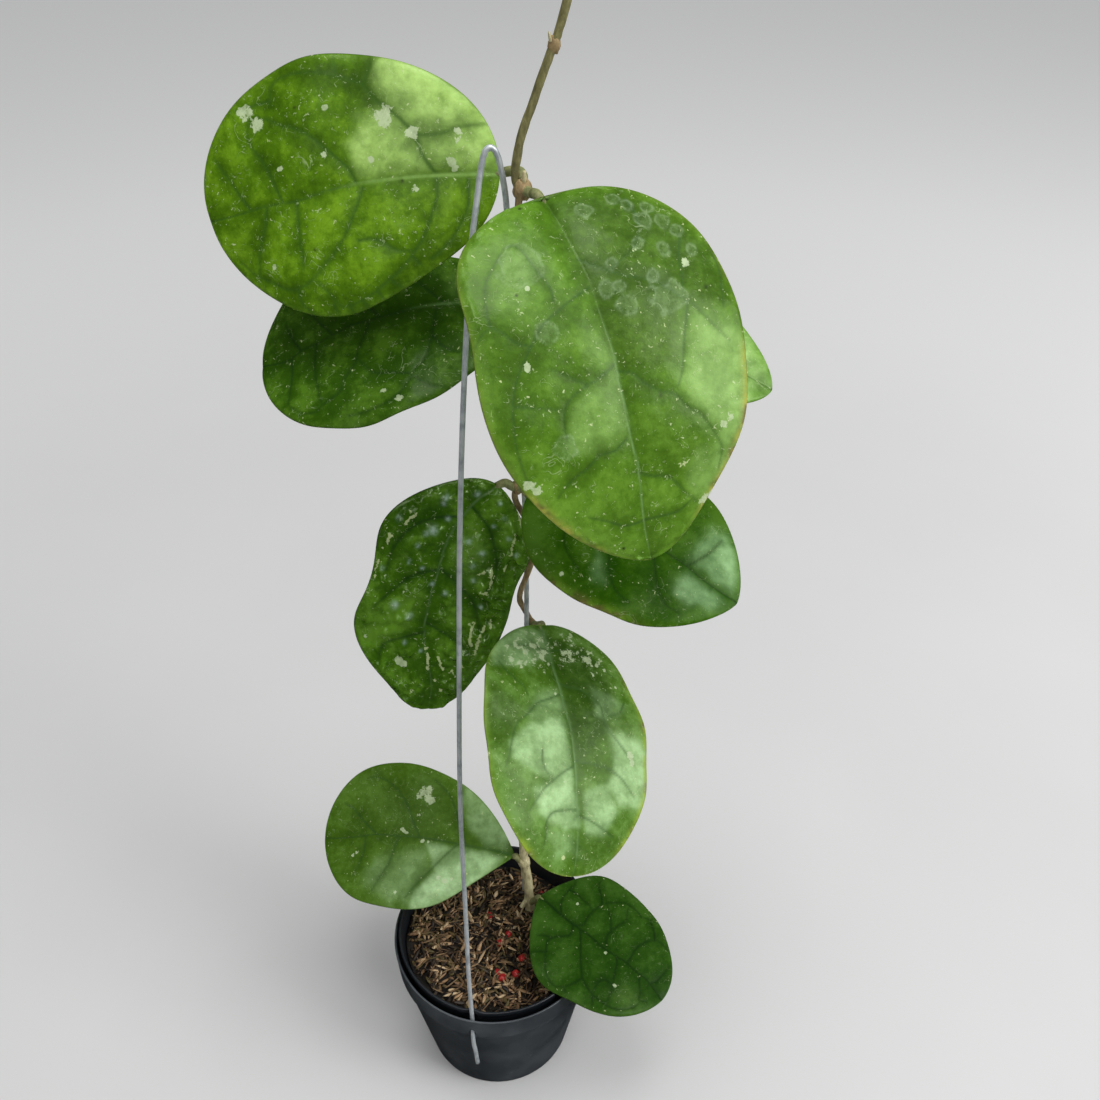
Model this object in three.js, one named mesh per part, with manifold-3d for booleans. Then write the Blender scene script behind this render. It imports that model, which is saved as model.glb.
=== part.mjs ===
// A hoya in two nested black nursery pots: the outer and the inner pot, the potting
// mix, the twining stem, the galvanised wire hoop that holds it up and whose front end
// is trapped between the pots, and nine leathery leaves.
// Millimetres, +Z up, origin at the centre of the pot's underside. -Y is the front.

import * as THREE from 'three';
import * as BufferGeometryUtils from 'three/addons/utils/BufferGeometryUtils.js';
import Module from 'manifold-3d';

const wasm = await Module();
wasm.setup();

// ---------------------------------------------------------------- driving dimensions

const GAP = 0.3; // clearance between pieces that touch
const BEVEL = 0.3; // of the pots' rims

const OUTER_POT = {
  height: 70,
  rimRadius: 45,
  baseRadius: 33,
  bandHeight: 13, // height of the rim band, down to the collar line
  bandTaper: 0.8, // how far the band draws in towards the collar
  collarStep: 1, // step from the band to the body
  wall: 1.2,
  edge: 0.9, // thickness of the wall at the rim
  floor: 2,
};

// The inner pot stands on the floor of the outer one, shoved away from the wire.
const INNER_POT = {
  centre: [0.2, 0.9],
  height: 70.6,
  rimRadius: 43.3,
  baseRadius: 30.6,
  lipHeight: 2.2,
  lipStep: 0.3,
  wall: 1.2,
  floor: 1.6,
};

const DRAIN_HOLES = 6; // through both floors
const DRAIN_RADIUS = 3;
const DRAIN_CIRCLE = 22;
const POT_SEGMENTS = 40;

const MIX = {
  height: 62.5, // of the surface, at the centre
  tiltX: -0.07, // the surface is heaped to the left and the front
  tiltY: -0.05,
  chips: 72,
  chipLength: 6,
  chipWidth: 1.9,
  chipThickness: 1.3,
  chipTilt: 0.35, // steepest lie of a chip, in radians
  chipLift: 0.15, // least height of a chip's middle above the surface
  chipCircle: 36,
  keepClear: 5, // no chip nearer than this to the stem or the wire
  beadRadius: 2.2,
  beadLift: 0.4,
};
const GOLDEN_ANGLE = Math.PI * (3 - Math.sqrt(5));

// Where the round feed beads lie on the mix.
const BEADS = [
  [21, 24.6], [-3.2, 12.4], [11.7, -10.2], [0.6, -17.8], [2.6, -20.3], [8.6, -18.4],
  [1.8, -2.2], [5.6, 2.1],
];

const WIRE_DIAMETER = 1.8;
const LOWER_STEM_DIAMETER = 4.2;
const STEM_DIAMETER = 2.1;
const VINE_DIAMETER = 2.4;
const PETIOLE_DIAMETER = 3.2;
const BLADE_THICKNESS = 1.5;
const MARGIN_THICKNESS = 0.8;
const TUBE_SIDES = 8;
const SHOOT_SIDES = 6;

// The hoop's centre line, from the clean-cut end outside the pot, in through the
// collar, up the front leg, round the small bend at the top and down into the mix.
const FRONT_LEG = [
  [-8.8, -44.9, 40.2], [-9.3, -45.1, 50], [-9.8, -45, 55.6], [-10, -44, 58.8], [-10, -42.3, 62.4],
  [-9.9, -41.8, 67], [-10, -41.2, 73], [-10.4, -37.6, 91], [-10.3, -31.6, 123], [-10, -20.6, 181],
  [-7.8, -10.2, 238], [-5, 0.3, 294], [-2.4, 7.1, 331], [0.5, 13.3, 364], [2, 16.4, 379],
  [4.3, 18.8, 393], [5.6, 19.9, 400.6], [6.6, 20.4, 404.6], [8.4, 20.6, 406.6],
];
const REAR_LEG = [
  [10.2, 20.7, 404.9], [11.3, 20.8, 400.6], [12.2, 21, 395], [12.9, 21.2, 386], [14.8, 22, 330],
  [16.8, 23, 270], [16.7, 23.1, 244], [15.9, 24.2, 200], [14.6, 25.4, 140], [13.7, 26, 92],
  [13.1, 26.7, 55], [12.8, 27.2, 22],
];

// How the stem twines round the rear leg: height, angle round the leg and distance from it.
const TWINE = [
  [48, -74, 10.5], [62, -74, 10], [80, -80, 8.4], [92, -91, 7.1], [120, -100, 5.6], [150, -96, 4.3],
  [185, -60, 2.9], [208, -10, 2.7], [228, 55, 3.2], [242, 180, 2.7], [254, 270, 2.7], [265, 350, 2.7],
  [293, 590, 3.4], [330, 790, 2.8], [362, 974, 3.3], [384, 1030, 3.8], [395, 1049, 5],
];
const LOWER_STEM_TOP = 186; // the corky, thicker lower stem ends here
const STEM_LAP = 4; // how far the thin stem begins inside the thick one
const LOWER_SPACING = 9; // of the stem's sections, below and above that place
const UPPER_SPACING = 4.4;

// The upper vine climbs free of the hoop to a small growing tip.
const VINE = [
  [16.6, 18.6, 394.5], [15.3, 19, 399], [15.9, 19, 404], [17.1, 19, 409.6], [19.2, 19, 415.5],
  [21.5, 19, 421.5], [23.5, 19, 427], [25.2, 19, 431.2], [26.4, 19, 434], [27.5, 19, 437],
  [28.9, 19, 441.5], [30.6, 18.8, 448], [32, 18.6, 455], [32.4, 18.5, 461],
];
const VINE_TIP = 7; // length of the tapered tip, half a millimetre of it inside the vine

// The nodes of the stem, where the petioles start.
const FOOT_NODE = [15.9, 17.2, 65];
const LOW_NODE = [13.5, 18.9, 92.4];
const LOWER_NODE = [18.2, 25.2, 227];
const MIDDLE_NODE = [14, 19.8, 293];
const UPPER_NODE = [12.9, 18.4, 362];
const TOP_NODE = [17.4, 18.4, 395.4];
const VINE_NODE = [26.3, 19, 433.6];
// Their swellings: radius, and how far each is drawn out along the stem.
const NODES = [
  { at: FOOT_NODE, radius: 2.4, stretch: 1.6 },
  { at: LOW_NODE, radius: 2.6, stretch: 1.5 },
  { at: LOWER_NODE, radius: 1.8, stretch: 1.5 },
  { at: MIDDLE_NODE, radius: 1.9, stretch: 1.5 },
  { at: UPPER_NODE, radius: 1.9, stretch: 1.5 },
  { at: TOP_NODE, radius: 2.6, stretch: 1.15 },
  { at: VINE_NODE, radius: 1.7, stretch: 1.4 },
];
// Short side shoots of the stem: the old cut stub at the foot, the bud above the
// top pair of leaves, and the small bract and growing tip of the vine.
const SHOOTS = [
  { path: [[15.2, 17.2, 68.5], [13.4, 15.6, 66.8], [11.8, 14.3, 65.2]], diameter: 2.6 },
  { path: [[17.2, 18.4, 396], [17.8, 17.6, 399], [17.9, 17.2, 401]], diameter: 1.9 },
  { path: [[26.2, 19, 433.2], [25.3, 18.3, 435], [24.9, 18, 437]], diameter: 1.2 },
];

// One entry for each leaf. base is where the blade begins; heading is the compass
// direction of the midrib (counter-clockwise from +X), pitch its climb and roll its
// twist, in degrees. rise and fall say how fast the blade widens from its base and
// narrows to its tip, arch how much the midrib droops, bend how much it curves
// sideways. left and right are waves of the margin, in mm. petiole runs to the base.
const LEAVES = [
  {
    name: 'leaf_top_left', base: [11, 30.6, 396.2], heading: 171.5, pitch: -11.3, roll: 64.8,
    length: 93.8, width: 73.2, rise: 0.51, fall: 0.47, arch: 20.5, bend: -19.5,
    left: [-2.3, -0.6], right: [-0.5, -0.4, 0.3], cup: -0.06, fold: 0.03, ripple: 0.8, colour: 0x5f9a1f,
    petiole: [TOP_NODE, [17.6, 22.5, 396.8], [17, 26.8, 397.6], [14.2, 30, 397]],
  },
  {
    name: 'leaf_upper_left', base: [10.7, 38.5, 354.1], heading: 180.4, pitch: -16.1, roll: 29.1,
    length: 84.1, width: 67, rise: 0.42, fall: 0.46, arch: 25.2, bend: 10,
    left: [-1.7, -0.2], right: [-4.1, -0.8, -0.6], cup: -0.03, fold: 0.03, ripple: 0.8, colour: 0x35701c,
    petiole: [UPPER_NODE, [10.4, 19.8, 361.2], [8.9, 25.5, 359.6], [9.7, 33, 356.6]],
  },
  {
    name: 'leaf_big_front', base: [23.1, 8.8, 396.7], heading: -62.1, pitch: -55, roll: -9,
    length: 111.1, width: 81.1, rise: 0.37, fall: 0.62, arch: 60.1, bend: 6.3,
    left: [-0.3, -0.7, 0.5, -0.7], right: [-3.3, 0.2, 0.5, 0.5], cup: -0.08, fold: 0.04, ripple: 0.8,
    colour: 0x4c8f1f,
    petiole: [TOP_NODE, [19.4, 15.6, 395.4], [21.3, 12, 395.9]],
  },
  {
    name: 'leaf_upper_right', base: [18.6, 24.4, 360], heading: -12, pitch: -18, roll: -26,
    length: 82, width: 50, rise: 0.64, fall: 0.68, arch: 22, bend: 4,
    left: [], right: [3], cup: -0.03, fold: 0.03, ripple: 0.5, colour: 0x3f8a1f,
    petiole: [UPPER_NODE, [15.9, 17.9, 361.6], [18, 20, 361.3]],
  },
  {
    name: 'leaf_crinkled_left', base: [7.7, 18, 295.1], heading: 218.4, pitch: -66.5, roll: 49.4,
    length: 92.1, width: 53.2, rise: 0.53, fall: 0.5, arch: 11.9, bend: -44.8,
    left: [1.7, 1.1, 1.3, 0.4], right: [1.4, 0.2, 1, -2.1], cup: -0.05, fold: 0.04, ripple: 1.5,
    colour: 0x1f4d12, rows: 20, columns: 12,
    petiole: [MIDDLE_NODE, [11.8, 19.2, 294.2], [10.4, 18.6, 295.6]],
  },
  {
    name: 'leaf_middle_right', base: [17.6, 15.6, 292.9], heading: -26.1, pitch: -17.1, roll: -23.3,
    length: 79.7, width: 60.4, rise: 0.53, fall: 0.7, arch: 28, bend: 9.4,
    left: [-1.9, -0.2, -0.4], right: [-0.9, 0.8], cup: -0.04, fold: 0.04, ripple: 0.6, colour: 0x2c6418,
    petiole: [MIDDLE_NODE, [15.6, 18.2, 293.6], [16.6, 16.9, 293.6]],
  },
  {
    name: 'leaf_lower_front', base: [21.4, 8.6, 240.7], heading: -84.1, pitch: -31.8, roll: 26.5,
    length: 90.5, width: 65.5, rise: 0.46, fall: 0.49, arch: 42, bend: 5,
    left: [-0.2], right: [0.2, 0.3, 0.6], cup: -0.08, fold: 0.06, ripple: 0.8, colour: 0x3d7d28,
    petiole: [LOWER_NODE, [20.4, 22.6, 228.6], [21.6, 18, 232.6], [21.7, 12.6, 237]],
  },
  {
    name: 'leaf_low_left', base: [9.5, 18.9, 96.7], heading: 170.4, pitch: -0.8, roll: 22.9,
    length: 88.2, width: 68.6, rise: 0.96, fall: 0.55, arch: 12.8, bend: -20.5,
    left: [2.3, -0.1, -0.6], right: [0.5, 0.6], cup: 0.02, fold: 0.04, ripple: 0.5, colour: 0x3f7a26,
    petiole: [LOW_NODE, [11.2, 18.8, 94.6], [10.2, 18.8, 96.1]],
  },
  {
    name: 'leaf_low_right', base: [20.2, 8.7, 80.5], heading: -45.3, pitch: -4, roll: -8.3,
    length: 70.1, width: 57.5, rise: 0.7, fall: 0.59, arch: 1.8, bend: 5.1,
    left: [3.6, 1.2, 0.9], right: [2.7, 0.4, -0.5], cup: -0.04, fold: 0.03, ripple: 0.4, colour: 0x1f5a14,
    petiole: [FOOT_NODE, [17.4, 14.6, 69.4], [18.8, 12.2, 73.4], [19.6, 10.2, 77.4]],
  },
];

const BLADE_ROWS = 14;
const BLADE_COLUMNS = 8;
const MIDRIB_STEPS = 40;
// Where the petiole runs on under the blade: distance from the base, depth below the
// blade's middle surface.
const UNDER_BLADE = [[0.9, 0.72], [5.4, 0.82], [9, 0.9]];

// ---------------------------------------------------------------- helpers

const vec = ([x, y, z]) => new THREE.Vector3(x, y, z);

// Numbers from 0 to 1 by a fixed linear congruential rule, alike in every run.
function seededRandom(seed) {
  let state = seed;
  return () => {
    state = (state * 1664525 + 1013904223) % 4294967296;
    return state / 4294967296;
  };
}

// A smooth curve whose sections lie at its own points, so that points set close
// together give a fine bend and points far apart a long straight.
class SectionCurve extends THREE.CatmullRomCurve3 {
  getUtoTmapping(u) {
    return u;
  }
}

function toSolid(geometry) {
  const bare = new THREE.BufferGeometry();
  bare.setAttribute('position', geometry.getAttribute('position').clone());
  if (geometry.index) {
    bare.setIndex(geometry.index.clone());
  }
  const merged = BufferGeometryUtils.mergeVertices(bare, 1e-4);
  return new wasm.Manifold(new wasm.Mesh({
    numProp: 3,
    vertProperties: Float32Array.from(merged.getAttribute('position').array),
    triVerts: Uint32Array.from(merged.index.array),
  }));
}

function toGeometry(solid) {
  const mesh = solid.getMesh();
  const geometry = new THREE.BufferGeometry();
  geometry.setAttribute('position', new THREE.BufferAttribute(Float32Array.from(mesh.vertProperties), 3));
  geometry.setIndex(new THREE.BufferAttribute(Uint32Array.from(mesh.triVerts), 1));
  geometry.computeVertexNormals();
  return geometry;
}

const fuse = (solids) => solids.reduce((whole, piece) => whole.add(piece));

// A round section of the given diameter carried along the points.
function tube(points, diameter, sectionsPerPoint = 1, sides = TUBE_SIDES) {
  const path = new SectionCurve(points.map(vec), false, 'centripetal');
  const section = new THREE.Shape();
  for (let i = 0; i < sides; i += 1) {
    const angle = (2 * Math.PI * i) / sides;
    const x = (diameter / 2) * Math.cos(angle);
    const y = (diameter / 2) * Math.sin(angle);
    if (i === 0) {
      section.moveTo(x, y);
    } else {
      section.lineTo(x, y);
    }
  }
  section.closePath();
  return new THREE.ExtrudeGeometry(section, {
    steps: (points.length - 1) * sectionsPerPoint,
    extrudePath: path,
  });
}

function lathe(profile, segments) {
  const points = profile.map(([radius, height]) => new THREE.Vector2(radius, height));
  const geometry = new THREE.LatheGeometry(points, segments);
  geometry.rotateX(Math.PI / 2); // the lathe's axis is Y; this stands it along Z
  return geometry;
}

function namedMesh(name, geometry, colour, roughness, metalness = 0) {
  const material = new THREE.MeshStandardMaterial({ color: colour, roughness, metalness });
  const mesh = new THREE.Mesh(geometry, material);
  mesh.name = name;
  return mesh;
}

// ---------------------------------------------------------------- hoop and stem

const HOOP = [...FRONT_LEG, ...REAR_LEG];
const HOOP_SECTIONS = 2;

// The hoop's wire, or with a growth the space that it needs, which goes a little deeper.
function hoopSolid(growth = 0) {
  const [x, y, z] = HOOP.at(-1);
  const points = [...HOOP.slice(0, -1), [x, y, z - growth / 2]];
  return toSolid(tube(points, WIRE_DIAMETER + growth, HOOP_SECTIONS));
}

// Straight-line reading of a table of rows [key, a, b, ...] at a key.
function readTable(table, key) {
  let row = 0;
  while (row < table.length - 2 && table[row + 1][0] < key) {
    row += 1;
  }
  const [low, high] = [table[row], table[row + 1]];
  const share = (key - low[0]) / (high[0] - low[0]);
  return low.slice(1).map((value, i) => value + (high[i + 1] - value) * share);
}

const rearLegByHeight = [...REAR_LEG].reverse().map(([x, y, z]) => [z, x, y]);

// A point of the stem's centre line at a height: round the rear leg, off its axis.
function stemPoint(height) {
  const [x, y] = readTable(rearLegByHeight, height);
  const [angle, distance] = readTable(TWINE, height);
  const turn = THREE.MathUtils.degToRad(angle);
  return [x + distance * Math.cos(turn), y + distance * Math.sin(turn), height];
}

function stemPoints(from, to, spacing) {
  const count = Math.round((to - from) / spacing);
  return Array.from({ length: count + 1 }, (_, i) => stemPoint(from + ((to - from) * i) / count));
}

function stemSolid(growth = 0) {
  const foot = TWINE[0][0] - growth / 2;
  const top = TWINE.at(-1)[0];
  const pieces = [
    tube(stemPoints(foot, LOWER_STEM_TOP, LOWER_SPACING), LOWER_STEM_DIAMETER + growth),
    tube(stemPoints(LOWER_STEM_TOP - STEM_LAP, top, UPPER_SPACING), STEM_DIAMETER + growth),
    tube(VINE, VINE_DIAMETER + growth),
    ...SHOOTS.map(({ path, diameter }) => tube(path, diameter + growth, 1, SHOOT_SIDES)),
  ];
  const swellings = NODES.map(({ at, radius, stretch }) => {
    const ball = new THREE.IcosahedronGeometry(radius + growth / 2, 1);
    ball.scale(1, 1, stretch);
    ball.translate(...at);
    return ball;
  });
  const [tipX, tipY, tipZ] = VINE.at(-1);
  const tip = new THREE.ConeGeometry(VINE_DIAMETER / 2, VINE_TIP, TUBE_SIDES);
  tip.rotateX(Math.PI / 2);
  tip.translate(tipX, tipY, tipZ + VINE_TIP / 2 - 0.5);
  return fuse([...pieces, ...swellings, tip].map(toSolid));
}

// ---------------------------------------------------------------- leaves

// The three directions of a leaf: side, along the midrib, and out of its upper face.
function leafAxes({ heading, pitch, roll }) {
  const [h, p, r] = [heading, pitch, roll].map(THREE.MathUtils.degToRad);
  const along = new THREE.Vector3(Math.cos(h) * Math.cos(p), Math.sin(h) * Math.cos(p), Math.sin(p));
  const level = new THREE.Vector3().crossVectors(along, new THREE.Vector3(0, 0, 1)).normalize();
  const upper = new THREE.Vector3().crossVectors(level, along);
  const side = level.clone().multiplyScalar(Math.cos(r)).addScaledVector(upper, Math.sin(r));
  const out = level.clone().multiplyScalar(-Math.sin(r)).addScaledVector(upper, Math.cos(r));
  return { side, along, out };
}

// The midrib's direction at t, 0 at the base and 1 at the tip, in the leaf's own axes.
function midribDirection({ arch, bend }, t) {
  const droop = THREE.MathUtils.degToRad(arch) * (0.5 - t);
  const turn = THREE.MathUtils.degToRad(bend) * (t - 0.5);
  const forward = new THREE.Vector3(
    Math.sin(turn), Math.cos(turn) * Math.cos(droop), Math.sin(droop));
  const side = new THREE.Vector3(Math.cos(turn), -Math.sin(turn), 0);
  return { forward, side, out: new THREE.Vector3().crossVectors(side, forward) };
}

// The midrib's points at equal steps, from summing its direction along its length.
function midribPoints(leaf) {
  const points = [new THREE.Vector3()];
  for (let i = 0; i < MIDRIB_STEPS; i += 1) {
    const { forward } = midribDirection(leaf, (i + 0.5) / MIDRIB_STEPS);
    points.push(points[i].clone().addScaledVector(forward, leaf.length / MIDRIB_STEPS));
  }
  return points;
}

// Half the blade's width at t: (t/m)^rise * ((1-t)/(1-m))^fall, widest at m, with the
// waves of that side's margin added.
function halfWidth({ width, rise, fall, left, right }, t, sideways) {
  const widest = rise / (rise + fall);
  const even = (width / 2) * (t / widest) ** rise * ((1 - t) / (1 - widest)) ** fall;
  const waves = sideways < 0 ? left : right;
  return waves.reduce((sum, wave, i) => sum + wave * Math.sin((i + 2) * Math.PI * t), even);
}

// The point of the blade's middle surface at t and v (-1 to 1 across), and its normal.
function bladePoint(leaf, midrib, t, v) {
  const { forward, side, out } = midribDirection(leaf, t);
  const place = t * MIDRIB_STEPS;
  const step = Math.min(Math.floor(place), MIDRIB_STEPS - 1);
  const centre = midrib[step].clone().lerp(midrib[step + 1], place - step);
  const half = Math.max(halfWidth(leaf, t, v), 0);
  const reach = v * half;
  const swell = leaf.ripple * v * v * Math.sin(Math.PI * t) * Math.sin(7 * Math.PI * t + 2 * v);
  const lift = leaf.fold * Math.abs(reach) + leaf.cup * v * v * half + swell;
  return { point: centre.addScaledVector(side, reach).addScaledVector(out, lift), out, forward };
}

// The blade as one closed body: the same grid on both faces, a wall round the margin,
// and a fan at the base and at the tip.
function bladeGeometry(leaf, axes, midrib) {
  const rows = leaf.rows ?? BLADE_ROWS;
  const columns = leaf.columns ?? BLADE_COLUMNS;
  const positions = [];
  const faces = [];
  const toWorld = (local) => new THREE.Vector3(...leaf.base)
    .addScaledVector(axes.side, local.x)
    .addScaledVector(axes.along, local.y)
    .addScaledVector(axes.out, local.z);

  const addPair = (t, v) => {
    const { point, out } = bladePoint(leaf, midrib, t, v);
    const body = Math.sqrt(1 - v * v) * Math.sqrt(Math.sin(Math.PI * t));
    const half = (MARGIN_THICKNESS + (BLADE_THICKNESS - MARGIN_THICKNESS) * body) / 2;
    positions.push(...toWorld(point.clone().addScaledVector(out, half)).toArray());
    positions.push(...toWorld(point.clone().addScaledVector(out, -half)).toArray());
    return positions.length / 3 - 2; // upper vertex; the lower one is the next
  };

  const base = addPair(0, 0);
  const grid = [];
  for (let row = 1; row < rows; row += 1) {
    const t = (1 - Math.cos((Math.PI * row) / rows)) / 2;
    const line = [];
    for (let column = 0; column <= columns; column += 1) {
      line.push(addPair(t, (2 * column) / columns - 1));
    }
    grid.push(line);
  }
  const tip = addPair(1, 0);

  const addFace = (a, b, c) => faces.push(a, b, c, a + 1, c + 1, b + 1);
  const addWall = (a, b) => faces.push(a, b, a + 1, b, b + 1, a + 1);
  for (let column = 0; column < columns; column += 1) {
    addFace(base, grid[0][column + 1], grid[0][column]);
    addFace(tip, grid.at(-1)[column], grid.at(-1)[column + 1]);
    for (let row = 0; row < grid.length - 1; row += 1) {
      addFace(grid[row][column], grid[row][column + 1], grid[row + 1][column + 1]);
      addFace(grid[row][column], grid[row + 1][column + 1], grid[row + 1][column]);
    }
  }
  addWall(base, grid[0][0]);
  addWall(grid[0][columns], base);
  addWall(grid.at(-1)[0], tip);
  addWall(tip, grid.at(-1)[columns]);
  for (let row = 0; row < grid.length - 1; row += 1) {
    addWall(grid[row][0], grid[row + 1][0]);
    addWall(grid[row + 1][columns], grid[row][columns]);
  }
  const geometry = new THREE.BufferGeometry();
  geometry.setAttribute('position', new THREE.Float32BufferAttribute(positions, 3));
  geometry.setIndex(faces);
  return { geometry, toWorld };
}

// The blade and its petiole, which runs on under the blade as the midrib's thick end.
function leafSolid(leaf) {
  const axes = leafAxes(leaf);
  const midrib = midribPoints(leaf);
  const { geometry, toWorld } = bladeGeometry(leaf, axes, midrib);
  const under = UNDER_BLADE.map(([distance, depth]) => {
    const { point, out } = bladePoint(leaf, midrib, distance / leaf.length, 0);
    return toWorld(point.addScaledVector(out, -depth)).toArray();
  });
  const petiole = tube([...leaf.petiole, ...under], PETIOLE_DIAMETER);
  return fuse([geometry, petiole].map(toSolid)).subtract(stemSolid(2 * GAP));
}

// ---------------------------------------------------------------- pots and mix

// The ring of holes through a pot's floor, whose underside is at a height.
function drainSolid(height, thickness) {
  return fuse(Array.from({ length: DRAIN_HOLES }, (_, i) => {
    const angle = (2 * Math.PI * (i + 0.5)) / DRAIN_HOLES;
    const hole = new THREE.CylinderGeometry(DRAIN_RADIUS, DRAIN_RADIUS, 3 * thickness, 12);
    hole.rotateX(Math.PI / 2);
    hole.translate(DRAIN_CIRCLE * Math.cos(angle), DRAIN_CIRCLE * Math.sin(angle), height + thickness / 2);
    return toSolid(hole);
  }));
}

function outerPotSolid() {
  const { height, rimRadius, baseRadius, bandHeight, bandTaper, collarStep, wall, edge, floor } = OUTER_POT;
  const collar = height - bandHeight;
  const bandRadius = rimRadius - bandTaper;
  const bodyRadius = bandRadius - collarStep;
  const body = toSolid(lathe([
    [0, 0], [baseRadius, 0], [bodyRadius, collar - 0.5], [bandRadius, collar + 0.5],
    [rimRadius, height - BEVEL], [rimRadius - BEVEL, height], [rimRadius - edge, height],
    [bandRadius - wall, collar + 1.5], [bodyRadius - wall, collar - 1.5],
    [baseRadius - wall, floor], [0, floor],
  ], POT_SEGMENTS));
  return body.subtract(drainSolid(0, floor)).subtract(hoopSolid(2 * GAP));
}

// Radii of the inner pot, from its own centre, at a height above the outer pot's underside.
const INNER_BOTTOM = OUTER_POT.floor + GAP;
const INNER_TOP = INNER_BOTTOM + INNER_POT.height;
const LIP_BOTTOM = INNER_TOP - INNER_POT.lipHeight;

function innerWallRadius(height) {
  const { baseRadius, rimRadius, lipStep, wall } = INNER_POT;
  const climb = (height - INNER_BOTTOM) / (LIP_BOTTOM - INNER_BOTTOM);
  return baseRadius + (rimRadius - lipStep - baseRadius) * climb - wall;
}

function innerPotSolid() {
  const { centre, rimRadius, baseRadius, lipStep, wall, floor } = INNER_POT;
  const body = toSolid(lathe([
    [0, INNER_BOTTOM], [baseRadius, INNER_BOTTOM], [rimRadius - lipStep, LIP_BOTTOM],
    [rimRadius, LIP_BOTTOM + lipStep], [rimRadius, INNER_TOP - BEVEL], [rimRadius - BEVEL, INNER_TOP],
    [rimRadius - wall, INNER_TOP], [innerWallRadius(LIP_BOTTOM), LIP_BOTTOM],
    [innerWallRadius(INNER_BOTTOM + floor), INNER_BOTTOM + floor], [0, INNER_BOTTOM + floor],
  ], POT_SEGMENTS)).translate(...centre, 0);
  return body.subtract(drainSolid(INNER_BOTTOM, floor)).subtract(hoopSolid(2 * GAP));
}

// Height of the mix's surface, which slopes a little.
function mixHeight(x, y) {
  return MIX.height + MIX.tiltX * x + MIX.tiltY * y;
}

// The mix fills the inner pot: a turned body whose top ring and middle ring are set
// to the sloping surface, the top ring just inside the pot's wall.
function mixBody() {
  const bottom = INNER_BOTTOM + INNER_POT.floor + GAP;
  const wallTop = innerWallRadius(MIX.height) - GAP;
  const middle = wallTop / 2;
  const geometry = lathe([
    [0, bottom], [innerWallRadius(bottom) - GAP, bottom], [wallTop, MIX.height],
    [middle, MIX.height], [0, MIX.height],
  ], POT_SEGMENTS);
  const places = geometry.getAttribute('position');
  for (let i = 0; i < places.count; i += 1) {
    const [x, y, z] = [places.getX(i), places.getY(i), places.getZ(i)];
    if (z > bottom + 1) {
      const height = mixHeight(x, y);
      const radius = Math.hypot(x, y);
      const scale = radius > middle + 1 ? (innerWallRadius(height) - GAP) / radius : 1;
      places.setXYZ(i, x * scale, y * scale, height);
    }
  }
  geometry.translate(...INNER_POT.centre, 0);
  return toSolid(geometry);
}

// Husk chips at golden-angle places on the surface, each a long eight-sided grain
// laid at a random turn and slight tilt and sunk to about its middle.
function chipSolids(clearOf) {
  const random = seededRandom(11);
  const solids = [];
  for (let i = 0; i < MIX.chips; i += 1) {
    const radius = MIX.chipCircle * Math.sqrt((i + 0.5) / MIX.chips);
    const angle = i * GOLDEN_ANGLE + 0.5 * random();
    const x = radius * Math.cos(angle);
    const y = radius * Math.sin(angle);
    const size = 0.75 + 0.5 * random(); // from three quarters to five quarters
    const chip = new THREE.OctahedronGeometry(0.5, 0);
    chip.scale(MIX.chipLength * size, MIX.chipWidth * size, MIX.chipThickness * size);
    chip.rotateY((2 * random() - 1) * MIX.chipTilt);
    chip.rotateZ(random() * Math.PI);
    chip.translate(x, y, mixHeight(x, y) + MIX.chipLift * (1 + 1.6 * random()));
    if (clearOf.every(([cx, cy]) => Math.hypot(x - cx, y - cy) > MIX.keepClear)) {
      solids.push(toSolid(chip));
    }
  }
  return solids;
}

function beadSolid([x, y]) {
  const bead = new THREE.IcosahedronGeometry(MIX.beadRadius, 1);
  bead.translate(x, y, mixHeight(x, y) + MIX.beadLift);
  return toSolid(bead);
}

function mixSolid() {
  const stemFoot = stemPoint(MIX.height);
  const wireFoot = readTable(rearLegByHeight, MIX.height);
  const whole = fuse([mixBody(), ...chipSolids([stemFoot, wireFoot]), ...BEADS.map(beadSolid)]);
  return whole.subtract(hoopSolid(2 * GAP)).subtract(stemSolid(2 * GAP));
}

// ---------------------------------------------------------------- the whole plant

const group = new THREE.Group();
group.add(namedMesh('outer_pot', toGeometry(outerPotSolid()), 0x1b1e22, 0.65));
group.add(namedMesh('inner_pot', toGeometry(innerPotSolid()), 0x14171c, 0.4));
group.add(namedMesh('potting_mix', toGeometry(mixSolid()), 0x4a3524, 0.95));
group.add(namedMesh('wire_hoop', toGeometry(hoopSolid()), 0x9aa5ad, 0.35, 0.9));
group.add(namedMesh('stem', toGeometry(stemSolid().subtract(hoopSolid(2 * GAP))), 0x8b7a4e, 0.8));
for (const leaf of LEAVES) {
  group.add(namedMesh(leaf.name, toGeometry(leafSolid(leaf)), leaf.colour, 0.35));
}

export default group;
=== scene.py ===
import math

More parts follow.
